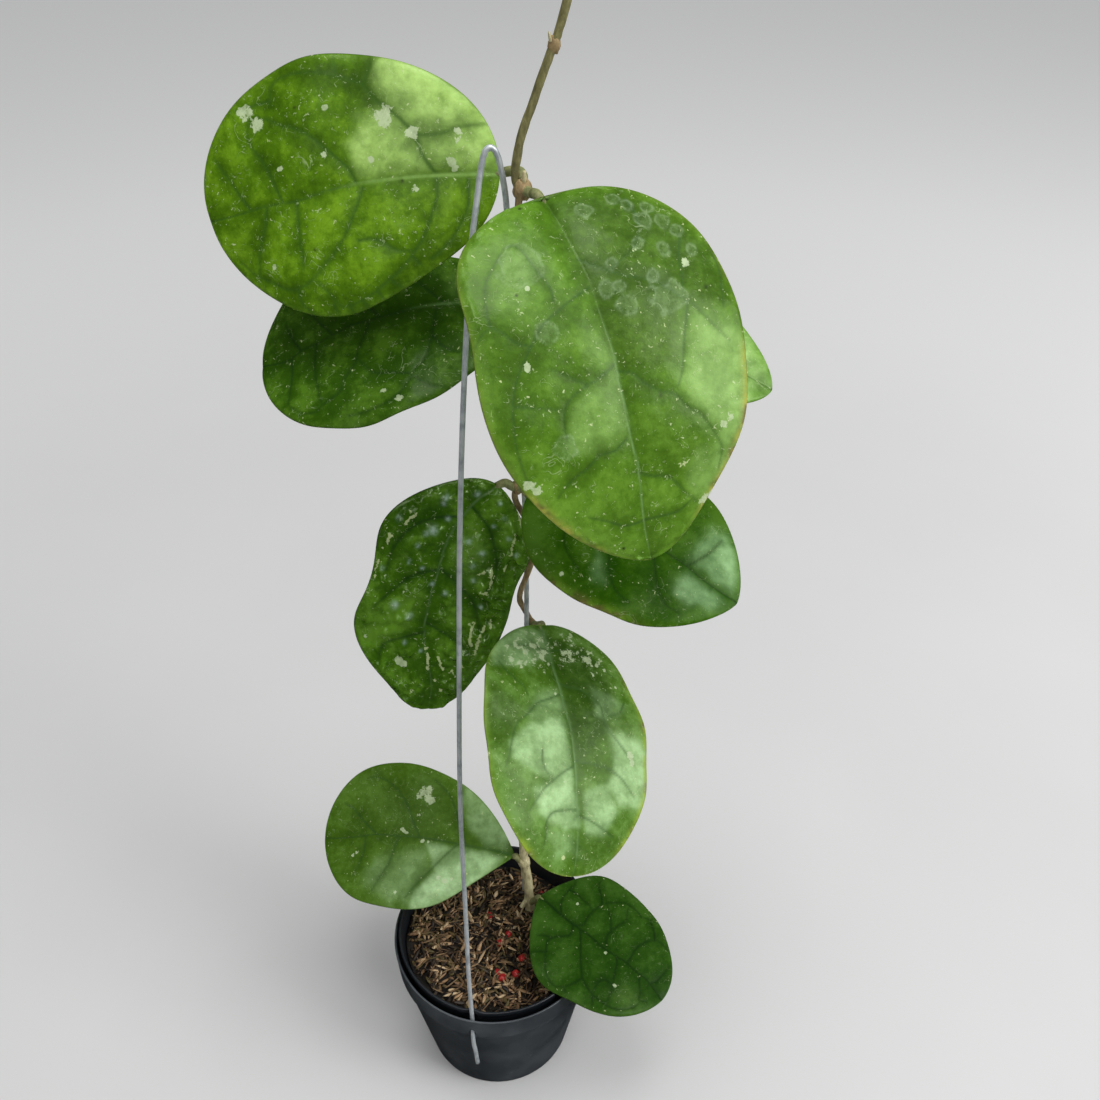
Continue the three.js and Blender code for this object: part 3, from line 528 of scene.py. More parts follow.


# ------------------------------------------------------------------ leaves

# Text rows give places on a blade: t along it and v across it, both in hundredths, then
# sizes in millimetres. v goes from -100 at the left margin to 100 at the right one, and
# outlines may pass it. Courses and outlines are parted by semicolons; an outline starts
# with its strength and the width of its soft edge.
# Of the outlines, the paler ones are painted highlights and the shade ones painted shade; the pale
# tops of the blisters and the pale streaks are painted highlights too.
LEAVES = {
    "leaf_top_left": dict(
        base=(11, 30.6, 396.2), heading=171.5, pitch=-11.3, roll=64.8, length=93.8, width=73.2,
        rise=0.51, fall=0.47, arch=20.5, bend=-19.5, left=(-2.3, -0.6), right=(-0.5, -0.4, 0.3),
        cup=-0.06, fold=0.03, ripple=0.8,
        petiole=((17.4, 18.4, 395.4), (17.6, 22.5, 396.8), (17, 26.8, 397.6), (14.2, 30, 397)),
        pale_to=0.46, dark_beyond=0.9, quilt=0.30, groove=0.10, bumps=0.10, waves=0.45,
        vein_width=0.62,
        midrib="0 0, 9 -1, 20 -2, 33 -2, 45 -2, 55 -3, 66 -6, 78 -4, 91 -4, 100 0",
        veins="""20 -1, 24 18, 26 36, 29 46, 33 56, 37 64, 40 75, 45 80, 49 83, 55 87, 62 90,
        67 89, 69 76; 46 -1, 47 7, 50 17, 54 28, 57 37, 62 48, 67 56, 71 66, 76 73, 78 66; 72 -4,
        73 9, 74 24, 76 40, 78 55, 78 66; 84 -2, 86 14, 88 38, 90 60, 91 76; 26 36, 21 38, 17 43,
        12 56, 5 89; 40 76, 38 88, 37 96; 48 83, 48 95; 69 78, 74 83, 80 90; 20 -6, 20 -24, 22 -42,
        25 -61, 29 -72, 34 -81, 40 -86, 45 -90, 51 -92, 60 -91, 62 -83, 66 -71; 44 -6, 46 -16,
        48 -24, 51 -35, 56 -48, 61 -57, 66 -67, 72 -76, 78 -81, 84 -79, 90 -79, 93 -72; 67 -6,
        68 -24, 69 -40, 69 -51, 70 -61; 78 -6, 80 -21, 83 -36, 86 -57, 88 -79; 48 -46, 42 -49,
        35 -64, 29 -72; 74 -79, 74 -90, 71 -98; 38 -88, 35 -97; 44 -90, 42 -99; 50 -92, 48.5 -100;
        56 -92, 55 -100; 62 -90, 61.5 -100; 30 -75, 27 -88; 10 -9, 10 -46, 13 -70, 18 -84, 23 -88""",
        crust="""35 52 2.9, 35 44 1.6, 27 38 2, 13 49 1.3, 13 39 1.2, 15 12 1.4, 14 5 1.1,
        78 85 2.2, 77 79 2, 74 66 2.2, 40 15 1.2, 55 24 1, 52 59 1, 27 -14 1.3, 81 -61 0.9,
        20 -100 0.9, 70 23 1""",
        dark_spots="61 64 0.5, 31 -5 0.5, 64 -46 0.5",
        bloom="""0.95 2.2: 45 2, 47 12, 46 28, 44 39, 41 49, 36 60, 37 73, 38 83, 36 98, 29 115,
        21 120, 15 120, 7 120, 1 100, 1 64, 1 5, 12 2, 21 0, 33 -1, 42 -1""",
        shade="""0.28 2.5: 97 61, 96 -28, 91 -66, 84 -81, 73 -94, 60 -97, 62 -84, 79 -76, 90 -76,
        96 -58, 97 -16; 0.4 2.5: 90 -10, 80 -9, 83 -41, 88 -72, 94 -57, 96 -22; 0.55 3: 35 -78,
        24 -73, 11 -94, 12 -100, 25 -98, 40 -97; 0.3 2: 62 50, 56 34, 48 6, 51 2, 58 10, 64 34;
        0.35 2.5: 43 83, 38 73, 37 62, 43 49, 46 60, 47 73""",
        finish=dict(deep=(0.036, 0.096, 0.001), mid=(0.076, 0.182, 0.002),
        pale=(0.170, 0.345, 0.010), flecks=0.8, shine=0.4, vein=(0.034, 0.100, 0.010),
        midrib=(0.20, 0.36, 0.075), edge=(0.075, 0.16, 0.012), bloom=(0.47, 0.71, 0.20))),
    "leaf_upper_left": dict(
        base=(10.7, 38.5, 354.1), heading=180.4, pitch=-16.1, roll=29.1, length=84.1, width=67,
        rise=0.42, fall=0.46, arch=25.2, bend=10, left=(-1.7, -0.2), right=(-4.1, -0.8, -0.6),
        cup=-0.03, fold=0.03, ripple=0.8,
        petiole=((12.9, 18.4, 362), (10.4, 19.8, 361.2), (8.9, 25.5, 359.6), (9.7, 33, 356.6)),
        pale_to=0.33, dark_beyond=0.9, quilt=0.32, groove=0.10, bumps=0.06, waves=0.5,
        vein_width=0.55,
        midrib="0 0, 14 6, 24 11, 33 13, 43 12, 52 11, 60 12, 67 9, 74 5, 81 3, 87 -5, 100 -10",
        veins="""25 11, 27 -8, 29 -26, 31 -41, 34 -54, 38 -62, 41 -73, 46 -83, 56 -86, 64 -88;
        40 -64, 46 -56, 53 -48, 58 -30; 38 -70, 34 -86, 30 -92; 29 -30, 26 -49, 21 -65; 52 11,
        55 -5, 58 -19, 60 -34, 64 -46, 67 -61, 73 -72, 77 -82, 82 -85, 87 -82; 86 -5, 86 -35,
        87 -56, 88 -77; 75 4, 76 -18, 76 -39, 75 -56, 74 -72; 82 4, 86 29, 88 51; 22 10, 27 34,
        33 56, 42 76, 52 85, 62 84; 48 12, 53 32, 59 52, 67 70, 77 78; 68 9, 73 28, 78 50, 82 66""",
        crust="45 -86 1.4, 50 -72 1.1",
        bloom="0.25 3: 20 30, 18 48, 14 55, 10 48, 8 30, 10 12, 14 5, 18 12",
        # Darker greens than the top leaves': painted shade, as this leaf lies in the shade of the
        # top left one.
        finish=dict(deep=(0.019, 0.064, 0.001), mid=(0.030, 0.092, 0.002),
        pale=(0.080, 0.190, 0.010), vein=(0.013, 0.046, 0.006), midrib=(0.10, 0.20, 0.05),
        edge=(0.05, 0.115, 0.01), flecks=0.4, shine=0.24, coat=0.02)),
    "leaf_big_front": dict(
        base=(23.1, 8.8, 396.7), heading=-62.1, pitch=-55, roll=-9, length=111.1, width=81.1,
        rise=0.37, fall=0.62, arch=60.1, bend=6.3, left=(-0.3, -0.7, 0.5, -0.7),
        right=(-3.3, 0.2, 0.5, 0.5), cup=-0.08, fold=0.04, ripple=0.8,
        petiole=((17.4, 18.4, 395.4), (19.4, 15.6, 395.4), (21.3, 12, 395.9)), pale_to=0.95,
        dark_beyond=0.0, quilt=0.20, groove=0.08, bumps=0.20, waves=0.45, vein_width=0.42,
        pale_from=0.42, cell=4.0, rib=0.75, valley=(1.7, 3.6), beads=0.9,
        midrib="""0 0, 6 0, 11 0, 16 0, 20 0, 25 -1, 33 0, 40 1, 46 1, 52 3, 60 4, 66 5, 73 4,
        78 5, 85 7, 91 8, 100 10""",
        veins="""28 1, 30 19, 32 34, 34 46, 38 58, 42 67, 45 73, 50 79, 55 83, 59 86, 65 89, 70 92;
        38 59, 36 69, 33 76, 31 84, 32 92, 34 97; 29 32, 26 31, 22 34, 18 38, 15 41, 12 48, 12 58;
        31 84, 28 84, 23 81, 19 77, 16 69, 12 58; 48 3, 50 16, 51 26, 52 35, 54 44, 58 50, 62 52;
        66 8, 68 20, 68 33, 70 43, 72 58, 74 70, 76 79; 51 79, 53 64, 55 48; 51 26, 49 33, 47 40,
        45 48; 20 0, 24 -11, 28 -26, 30 -38, 33 -49, 37 -59, 41 -68, 45 -75, 50 -86; 38 -62,
        42 -57, 46 -52, 49 -49, 54 -44, 57 -39; 50 1, 51 -7, 54 -14, 57 -24, 59 -36, 62 -42,
        65 -54, 68 -62, 71 -70, 74 -79, 80 -88; 75 6, 77 -9, 78 -25, 81 -38, 84 -54, 87 -78;
        22 -81, 28 -69, 32 -65, 37 -59; 8 -74, 14 -63, 17 -57, 21 -45, 25 -20; 27 -97, 32 -96,
        36 -92, 42 -87; 88 7, 88 -22, 88 -48, 86 -64; 88 7, 88 32, 85 53, 83 66""",
        crust="""29 -73 1.6, 69 -76 1.3, 68 -82 1.2, 87 -90 1.9, 86 -100 1.3, 42 64 1.1, 43 64 0.9,
        24 48 0.8, 71 93 1.7, 73 90 1.5""",
        dark_spots="36 -79 0.5, 58 -24 0.5, 25 58 0.5, 94 59 0.5, 2 47 0.5",
        bloom="""0.85 2.5: 39 -61, 43 -76, 48 -89, 57 -115, 70 -120, 78 -120, 85 -120, 88 -110,
        79 -77, 72 -74, 67 -58, 60 -40, 50 -43; 0.55 1.8: 55 41, 52 28, 49 3, 56 4, 66 6, 68 23,
        68 34, 66 51, 59 50; 0.5 2.2: 74 -55, 80 -50, 86 -70, 90 -110, 80 -120, 72 -110; 0.14 2.5:
        9 64, 14 39, 21 28, 29 14, 34 38, 36 59, 30 75, 22 78, 13 70; 0.22 2: 39 14, 40 -2, 48 -1,
        49 16, 44 19; 0.35 1.5: 7 -2, 14 -1, 23 -3, 30 -1, 30 6, 23 7, 15 6, 10 6""",
        gold="""56 -100 5 0.7, 66 -100 6 1, 76 -100 7 1.2, 86 -100 6 1.2, 78 100 5 0.9,
        86 100 5 0.9, 93 100 4 0.6""",
        rings="""8 -29 2, 7 -65 1.8, 15 -66 2.2, 10 -67 1.6, 17 -78 1.8, 20 -83 1.6, 35 -19 2.2,
        24 -21 1.6, 30 -9 2, 30 -19 1.6, 21 -47 1.7, 24 -63 1.5, 36 -49 4.2, 18 48 6, 64 55 2.6,
        36 44 3, 12 -79 1.4, 26 -83 1.5, 30 -45 1.6""",
        tan_spots="76 -39 1.2",
        shade="""0.8 3: 4 -20, 4 -91, 11 -95, 21 -93, 33 -94, 40 -92, 43 -74, 39 -60, 52 -42,
        52 -16, 48 1, 40 4, 29 -1, 21 0; 0.3 3: 48 -1, 57 -38, 71 -64, 80 -52, 77 -9, 71 1, 61 4;
        0.4 2.5: 31 90, 35 68, 46 71, 54 81, 65 90, 57 96, 45 97, 36 98; 0.25 2: 39 60, 33 26,
        32 6, 45 6, 50 31, 55 48, 51 68, 44 72""",
        finish=dict(deep=(0.042, 0.104, 0.006), mid=(0.072, 0.174, 0.009),
        pale=(0.135, 0.285, 0.025), flecks=0.75, shine=0.30, coat=0.06, vein=(0.034, 0.090, 0.016),
        midrib=(0.150, 0.270, 0.085), edge=(0.20, 0.26, 0.04))),
    "leaf_upper_right": dict(
        base=(18.6, 24.4, 360), heading=-12, pitch=-18, roll=-26, length=82, width=50, rise=0.64,
        fall=0.68, arch=22, bend=4, left=(), right=(3,), cup=-0.03, fold=0.03, ripple=0.5,
        petiole=((12.9, 18.4, 362), (15.9, 17.9, 361.6), (18, 20, 361.3)), pale_to=0.5,
        dark_beyond=0.7, quilt=0.3, groove=0.10, bumps=0.05, waves=0.4, vein_width=0.6,
        midrib="0 0, 30 2, 60 2, 100 0",
        veins="""16 2, 24 30, 34 56, 46 76, 58 82; 38 2, 45 28, 54 52, 65 70, 74 74; 60 2, 66 26,
        74 50, 82 66; 16 0, 24 -30, 34 -56, 46 -76, 58 -82; 36 0, 44 -28, 53 -52, 64 -70, 74 -74;
        60 0, 67 -26, 75 -50, 82 -66""",
        bloom="0.75 4: 98 0, 94 49, 84 70, 74 49, 70 0, 74 -49, 84 -70, 94 -49",
        # The brightest greens of all: painted light, as this leaf's tip faces up into the light.
        finish=dict(deep=(0.055, 0.140, 0.010), mid=(0.105, 0.250, 0.018),
        pale=(0.200, 0.400, 0.060), vein=(0.05, 0.125, 0.015), midrib=(0.18, 0.32, 0.08),
        edge=(0.12, 0.24, 0.03), bloom=(0.60, 0.86, 0.36), flecks=0.3)),
    "leaf_crinkled_left": dict(
        base=(7.7, 18, 295.1), heading=218.4, pitch=-66.5, roll=49.4, length=92.1, width=53.2,
        rise=0.53, fall=0.5, arch=11.9, bend=-44.8, left=(1.7, 1.1, 1.3, 0.4),
        right=(1.4, 0.2, 1, -2.1), cup=-0.05, fold=0.04, ripple=1.5,
        petiole=((14, 19.8, 293), (11.8, 19.2, 294.2), (10.4, 18.6, 295.6)), pale_to=0.95,
        dark_beyond=0.0, quilt=0.5, groove=0.12, bumps=1.4, bump_size=3.2, pleats=1.6, waves=0.9,
        vein_width=0.55, rib=0.6, cell=3.6, beads=0.8,
        midrib="""0 0, 4 14, 10 20, 16 19, 22 18, 28 16, 35 13, 42 11, 51 10, 58 9, 65 7, 72 3,
        80 -5, 89 -12, 100 -10""",
        veins="""12 18, 14 -11, 16 -28, 20 -41, 26 -56, 32 -64, 40 -62; 38 12, 42 -22, 47 -46,
        55 -60, 63 -70; 61 7, 65 -26, 69 -51, 74 -70; 17 19, 22 49, 28 65, 36 75, 45 80; 39 11,
        43 38, 51 64, 58 81; 65 6, 68 31, 72 61, 78 80""",
        crust="78 44 1.8, 79 40 1.3, 70 84 0.8",
        tan_spots="24 80 0.9, 78 -60 1, 72 2 1.1, 76 -20 0.9, 86 -20 1.1, 90 40 1",
        bloom="0.12 3: 21 0, 20 -42, 33 -56, 45 -30, 40 1, 29 7",
        streaks="""28 76 24 74 0.8, 24 74 24 81 0.5, 33 86 36 84 0.7, 29 -54 34 -59 0.8,
        33 -62 39 -63 0.7, 33 -48 35 -42 0.6, 42 -51 41 -62 0.6, 57 -56 64 -56 0.8,
        64 -56 68 -64 0.8, 62 -69 72 -74 0.8, 58 -72 61 -72 0.6, 55 -78 59 -81 0.7,
        74 -2 81 -4 0.8, 75 -19 81 -31 0.8, 81 -46 84 -56 0.7, 12 -72 21 -72 0.7,
        26 -72 29 -72 0.6, 90 -33 92 -39 0.7, 43 93 49 94 0.6, 4 -100 8 -91 0.5""",
        blisters="""26 40 1.7, 28 45 1.1, 14 67 1.3, 16 59 1, 24 -9 1.3, 26 -33 1.4, 32 -29 1.3,
        56 55 1.5, 59 31 1.3, 7 34 1.2, 20 34 1, 33 48 0.9, 45 14 0.9, 47 -7 1, 38 -39 1, 27 86 1,
        39 52 0.9, 45 86 0.8, 40 33 0.8, 48 -59 0.9, 70 31 0.8, 73 9 0.8, 9 -48 1, 15 -62 1.1,
        20 -78 1, 14 -32 0.8, 5 -32 0.9""",
        finish=dict(deep=(0.020, 0.072, 0.001), mid=(0.044, 0.126, 0.002),
        pale=(0.110, 0.255, 0.016), vein=(0.014, 0.044, 0.008), midrib=(0.085, 0.165, 0.05),
        edge=(0.05, 0.10, 0.018), gloss=0.20, coat=0.50, shine=0.8, flecks=0.7, pucker=1.35)),
    "leaf_middle_right": dict(
        base=(17.6, 15.6, 292.9), heading=-26.1, pitch=-17.1, roll=-23.3, length=79.7, width=60.4,
        rise=0.53, fall=0.7, arch=28, bend=9.4, left=(-1.9, -0.2, -0.4), right=(-0.9, 0.8),
        cup=-0.04, fold=0.04, ripple=0.6,
        petiole=((14, 19.8, 293), (15.6, 18.2, 293.6), (16.6, 16.9, 293.6)), pale_to=0.4,
        dark_beyond=0.9, quilt=0.15, groove=0.08, bumps=0.05, waves=0.5, vein_width=0.5,
        midrib="0 0, 23 -4, 40 -5, 54 -5, 66 -2, 74 -1, 82 3, 90 4, 100 8",
        veins="""30 -4, 36 10, 44 36, 47 51, 51 64, 55 73, 61 78; 57 -5, 61 14, 65 32, 69 49,
        75 65, 81 74; 74 -1, 77 -20, 79 -38, 81 -72; 12 -2, 20 22, 26 53, 36 69; 16 -3, 24 -30,
        33 -56, 45 -76; 42 -5, 48 -28, 56 -54, 66 -74""",
        crust="42 72 0.9, 30 84 0.9",
        bloom="""0.85 2: 75 -12, 75 -70, 82 -87, 90 -83, 95 -61, 97 -10, 86 -7; 0.95 2: 76 7,
        73 26, 76 42, 83 52, 90 52, 95 34, 92 14, 82 9; 0.42 1.8: 40 40, 44 44, 47 56, 49 68,
        44 68, 40 54""",
        gold="30 100 6 0.5, 45 100 7 0.6, 60 100 7 0.5",
        shade="0.45 4: 11 88, 46 40, 70 15, 84 60, 70 94, 47 98, 25 96",
        finish=dict(deep=(0.016, 0.070, 0.001), mid=(0.032, 0.106, 0.002),
        pale=(0.066, 0.170, 0.010), vein=(0.012, 0.042, 0.005), midrib=(0.05, 0.11, 0.025),
        edge=(0.075, 0.14, 0.012), shine=0.16, coat=0.0, flecks=0.25, water=0.6,
        bloom=(0.36, 0.60, 0.29), gold=(0.20, 0.34, 0.03))),
    "leaf_lower_front": dict(
        base=(21.4, 8.6, 240.7), heading=-84.1, pitch=-31.8, roll=26.5, length=90.5, width=65.5,
        rise=0.46, fall=0.49, arch=42, bend=5, left=(-0.2,), right=(0.2, 0.3, 0.6), cup=-0.08,
        fold=0.06, ripple=0.8,
        petiole=((18.2, 25.2, 227), (20.4, 22.6, 228.6), (21.6, 18, 232.6), (21.7, 12.6, 237)),
        pale_to=0.95, dark_beyond=0.0, quilt=0.26, groove=0.08, bumps=0.20, waves=0.5,
        vein_width=0.42, cell=4.0, rib=0.8, valley=(1.0, 3.2), veil=0.32,
        midrib="""0 0, 12 3, 21 4, 29 2, 37 2, 46 -1, 55 -1, 64 -1, 70 0, 78 -2, 84 -3, 92 -4,
        100 0""",
        veins="""32 4, 34 21, 36 38, 40 51, 43 63, 47 69, 52 74, 57 79, 60 84; 18 83, 22 73, 26 61,
        29 52, 33 48; 60 1, 62 14, 65 28, 68 41, 72 53, 76 66; 54 38, 59 39, 62 36, 65 28; 76 0,
        76 18, 77 36, 80 46, 84 51, 88 60; 27 3, 29 -8, 30 -22, 33 -35, 37 -44, 41 -44, 45 -45,
        52 -60, 58 -74; 58 1, 59 -13, 60 -30, 62 -47, 66 -63, 72 -80; 78 -1, 80 -21, 83 -42,
        86 -64; 36 -78, 40 -66, 41 -49; 13 0, 11 31, 11 62; 13 2, 13 -30, 17 -60, 25 -80""",
        scurf="0.56 2.5: 3 -60, 3 70, 10 92, 22 80, 25 30, 20 2, 22 -30, 28 -62, 20 -85, 10 -80",
        crust="""11 31 1.8, 16 20 1.4, 14 46 1.3, 18 66 1.4, 18 -55 1.5, 20 -62 1, 56 -73 1.6,
        59 -75 1.2, 53 -78 1, 11 78 0.9, 6 -61 0.9, 22 -72 0.8, 66 15 0.7, 32 11 0.7, 8 10 0.7,
        10 46 0.8, 13 14 0.6, 12 58 0.7, 15 66 0.6, 18 36 0.7, 19 10 0.6, 14 -30 0.7, 11 -42 0.6,
        21 52 0.6, 23 20 0.5, 17 -18 0.5, 5 30 0.6, 24 -50 0.6, 29 -76 0.6""",
        tan_spots="55 100 0.8, 72 67 0.7, 84 100 0.8, 93 31 1",
        bloom="""0.75 1.5: 46 61, 41 28, 42 11, 54 5, 67 1, 69 16, 64 36, 60 56, 57 76, 51 76;
        0.95 1.5: 68 54, 64 14, 70 -1, 82 -3, 83 20, 77 49; 0.82 1.8: 47 -47, 51 -86, 57 -115,
        70 -115, 77 -105, 75 -59, 67 -42, 59 -52; 0.7 1.3: 70 -7, 67 -42, 77 -60, 85 -47, 84 -17;
        0.35 2: 84 51, 84 6, 93 -15, 92 46; 0.35 1.5: 29 -39, 37 -81, 44 -61, 41 -34; 0.45 2.2:
        30 7, 32 34, 40 50, 48 40, 48 5; 0.5 1.6: 3 -5, 3 70, 10 110, 19 90, 20 40, 16 5""",
        gold="""30 -100 7 0.5, 45 -100 7 0.8, 60 -100 8 1, 75 -100 7 1, 88 -100 6 1.1, 96 0 5 0.9,
        90 100 5 0.8""",
        shade="""0.9 2: 6 -2, 12 -60, 26 -72, 33 -70, 47 -42, 57 -16, 59 -4, 40 4, 22 3; 0.7 1.5:
        26 95, 37 59, 46 71, 54 82, 51 93, 38 97; 0.5 2.5: 59 81, 67 59, 81 67, 92 56, 89 90,
        76 90; 0.5 2.5: 86 -10, 86 -76, 82 -97, 93 -79, 97 -28""",
        finish=dict(flecks=0.75, deep=(0.036, 0.100, 0.005), mid=(0.068, 0.162, 0.011),
        pale=(0.145, 0.290, 0.055), vein=(0.036, 0.096, 0.018), midrib=(0.12, 0.225, 0.075),
        edge=(0.24, 0.36, 0.03), bloom=(0.50, 0.75, 0.38), gold=(0.34, 0.46, 0.04), gloss=0.38,
        shine=0.28)),
    "leaf_low_left": dict(
        base=(9.5, 18.9, 96.7), heading=170.4, pitch=-0.8, roll=22.9, length=88.2, width=68.6,
        rise=0.96, fall=0.55, arch=12.8, bend=-20.5, left=(2.3, -0.1, -0.6), right=(0.5, 0.6),
        cup=0.02, fold=0.04, ripple=0.5,
        petiole=((13.5, 18.9, 92.4), (11.2, 18.8, 94.6), (10.2, 18.8, 96.1)), pale_to=0.2,
        dark_beyond=1.0, quilt=0.10, groove=0.05, bumps=0.04, waves=0.5, vein_width=0.5,
        midrib="0 0, 12 -3, 27 -4, 42 -2, 54 -1, 65 -1, 72 0, 84 -3, 93 -4, 100 0",
        veins="""26 -2, 30 23, 33 43, 36 61, 41 76, 47 84; 72 0, 77 12, 82 29, 86 47, 90 63; 50 -1,
        55 23, 60 48, 66 66, 73 79, 78 84; 30 -6, 34 -21, 38 -36, 43 -53, 48 -69, 52 -85; 60 -1,
        62 -20, 64 -41, 68 -62, 71 -81; 78 -1, 78 -22, 80 -45, 83 -68""",
        crust="""51 62 2.6, 48 55 2.2, 53 56 1.8, 49 68 1.6, 52 29 1.3, 59 7 1.3, 57 4 1,
        36 -59 1.2, 32 -66 1.4, 29 -65 1, 82 -28 1.1, 84 -34 0.9, 58 -79 1, 48 -6 1, 45 -6 0.8""",
        bloom="""0.95 1.6: 45 -10, 24 -9, 4 -26, 8 -110, 19 -120, 24 -120, 36 -120, 48 -110,
        48 -76, 38 -50, 42 -28; 0.32 3.5: 71 -39, 45 -18, 45 -96, 62 -89, 76 -74; 0.62 2.2: 33 115,
        20 115, 6 110, 4 10, 16 4, 25 30, 31 70""",
        shade="0.35 4: 48 76, 30 53, 27 7, 44 1, 59 5, 79 2, 91 -6, 85 43, 73 67, 61 76",
        finish=dict(deep=(0.030, 0.082, 0.002), mid=(0.054, 0.130, 0.004),
        pale=(0.096, 0.208, 0.020), vein=(0.026, 0.075, 0.010), midrib=(0.035, 0.090, 0.016),
        edge=(0.09, 0.17, 0.02), pucker=0.6, flecks=0.35, water=0.6, shine=0.34,
        bloom=(0.46, 0.69, 0.35))),
    "leaf_low_right": dict(
        base=(20.2, 8.7, 80.5), heading=-45.3, pitch=-4, roll=-8.3, length=70.1, width=57.5,
        rise=0.7, fall=0.59, arch=1.8, bend=5.1, left=(3.6, 1.2, 0.9), right=(2.7, 0.4, -0.5),
        cup=-0.04, fold=0.03, ripple=0.4,
        petiole=((15.9, 17.2, 65), (17.4, 14.6, 69.4), (18.8, 12.2, 73.4), (19.6, 10.2, 77.4)),
        pale_to=0.0, dark_beyond=1.0, quilt=0.12, groove=0.07, bumps=0.04, waves=0.4,
        vein_width=0.5,
        midrib="0 0, 16 3, 26 3, 36 1, 43 0, 50 1, 57 -1, 64 -4, 70 -7, 76 -6, 83 -10, 100 -10",
        veins="""29 4, 34 -8, 33 -19, 33 -32, 34 -49, 36 -59, 40 -69, 44 -78, 48 -81, 54 -82,
        58 -81; 18 0, 15 -10, 13 -21, 12 -41, 12 -55, 12 -78, 10 -94; 12 -55, 18 -47, 24 -40,
        28 -39, 32 -35; 34 -52, 31 -61, 27 -70, 24 -80, 23 -91; 54 -3, 50 -17, 50 -32, 51 -47,
        52 -59, 50 -66, 48 -76; 50 -26, 46 -39, 41 -49, 36 -59; 70 -8, 69 -24, 68 -38, 69 -51,
        71 -66, 74 -78, 78 -86, 82 -92; 73 -74, 70 -81, 66 -85, 62 -88, 58 -82; 88 -10, 90 -28,
        90 -51, 90 -75, 90 -90; 35 3, 40 16, 44 27, 48 38, 52 49, 56 59, 61 67, 66 73, 74 78,
        82 82, 86 80, 89 74, 91 61, 91 42; 30 6, 32 20, 29 29, 25 44, 24 56, 26 63, 28 68, 32 77,
        36 84, 40 88, 46 91, 52 85; 28 66, 24 79, 21 92; 25 44, 20 56, 16 74; 56 59, 55 70, 53 79,
        52 86, 55 94; 68 77, 70 85, 72 95; 63 -2, 66 7, 68 18, 70 28, 72 37, 74 48, 75 58, 77 74,
        79 86; 72 41, 67 41, 65 51, 66 65, 68 77; 80 -8, 82 1, 85 12, 88 25, 90 41, 94 42""",
        crust="56 5 0.9, 74 40 0.9, 50 30 0.7, 22 -30 0.8",
        bloom="0.22 3: 90 50, 88 68, 82 75, 76 68, 74 50, 76 32, 82 25, 88 32",
        # The darkest greens of all: painted shade, as this leaf lies low in the shade of the leaves
        # above it.
        finish=dict(deep=(0.009, 0.042, 0.002), mid=(0.021, 0.072, 0.004),
        pale=(0.044, 0.120, 0.012), vein=(0.006, 0.026, 0.004), midrib=(0.006, 0.026, 0.004),
        edge=(0.045, 0.105, 0.012), shine=0.22, coat=0.03, pucker=0.5, flecks=0.12, water=0.3)),
}
SLOTS = {
    "leaf_top_left": "leaf_bright", "leaf_upper_right": "leaf_bright",
    "leaf_upper_left": "leaf_mid", "leaf_big_front": "leaf_mid",
    "leaf_lower_front": "leaf_mid", "leaf_low_left": "leaf_mid",
    "leaf_crinkled_left": "leaf_dark", "leaf_middle_right": "leaf_dark",
    "leaf_low_right": "leaf_dark"}


def rows_of(text, places=2):
    """Rows of numbers from a text with commas between the rows. The first numbers of a
    row, as many as places says, are hundredths and are divided by 100."""
    rows = [[float(part) for part in row.split()] for row in text.split(",") if row.strip()]
    return [[part / 100 if k < places else part for k, part in enumerate(row)] for row in rows]


def leaf_axes(leaf):
    """The leaf's three directions from heading, pitch and roll: side, along, out."""
    h, p, r = (math.radians(leaf[k]) for k in ("heading", "pitch", "roll"))
    along = np.array([math.cos(h) * math.cos(p), math.sin(h) * math.cos(p), math.sin(p)])
    level = unit(np.cross(along, [0, 0, 1]))
    upper = np.cross(level, along)
    side = math.cos(r) * level + math.sin(r) * upper
    out = -math.sin(r) * level + math.cos(r) * upper
    return np.stack([side, along, out])


def half_width(leaf, t, v):
    """Half the blade's width: W/2 (t/m)^rise ((1-t)/(1-m))^fall, widest at
    m = rise/(rise+fall), plus waves a_i sin((i+2) pi t) of that side's margin."""
    m = leaf["rise"] / (leaf["rise"] + leaf["fall"])
    even = leaf["width"] / 2 * (t / m) ** leaf["rise"] * ((1 - t) / (1 - m)) ** leaf["fall"]
    left, right = (sum((a * np.sin((i + 2) * np.pi * t) for i, a in enumerate(leaf[side])), 0 * t)
                   for side in ("left", "right"))
    return np.maximum(even + np.where(v < 0, left, right), 0)


def blade_middle(leaf, t, v):
    """The blade's middle surface. The midrib droops by arch and turns by bend over its
    length (its direction summed from the base); v of the half width is laid off to the
    side, and the height is fold |x| + cup v^2 w + ripple v^2 sin(pi t) sin(7 pi t + 2v)
    less a roll-down 0.6 v^14 sin(pi t) at the margin."""
    def course(at):
        droop = np.radians(leaf["arch"]) * (0.5 - at)
        turn = np.radians(leaf["bend"]) * (at - 0.5)
        ahead = np.stack([np.sin(turn), np.cos(turn) * np.cos(droop), np.sin(droop)], -1)
        return ahead, np.stack([np.cos(turn), -np.sin(turn), 0 * turn], -1)
    s = np.linspace(0, 1, 201)
    ahead, _ = course((s[1:] + s[:-1]) / 2)
    spine = np.vstack([[0, 0, 0], np.cumsum(ahead, 0) * leaf["length"] / 200])
    centre = np.stack([np.interp(t, s, spine[:, k]) for k in range(3)], -1)
    forward, side = course(t)
    out = np.cross(side, forward)
    half = half_width(leaf, t, v)
    swell = leaf["ripple"] * v * v * np.sin(np.pi * t) * np.sin(7 * np.pi * t + 2 * v)
    lift = leaf["fold"] * np.abs(v * half) + leaf["cup"] * v * v * half + swell
    lift = lift - 0.6 * np.abs(v) ** 14 * np.sin(np.pi * t)
    local = centre + side * (v * half)[..., None] + out * lift[..., None]
    return np.array(leaf["base"]) + local @ leaf_axes(leaf)


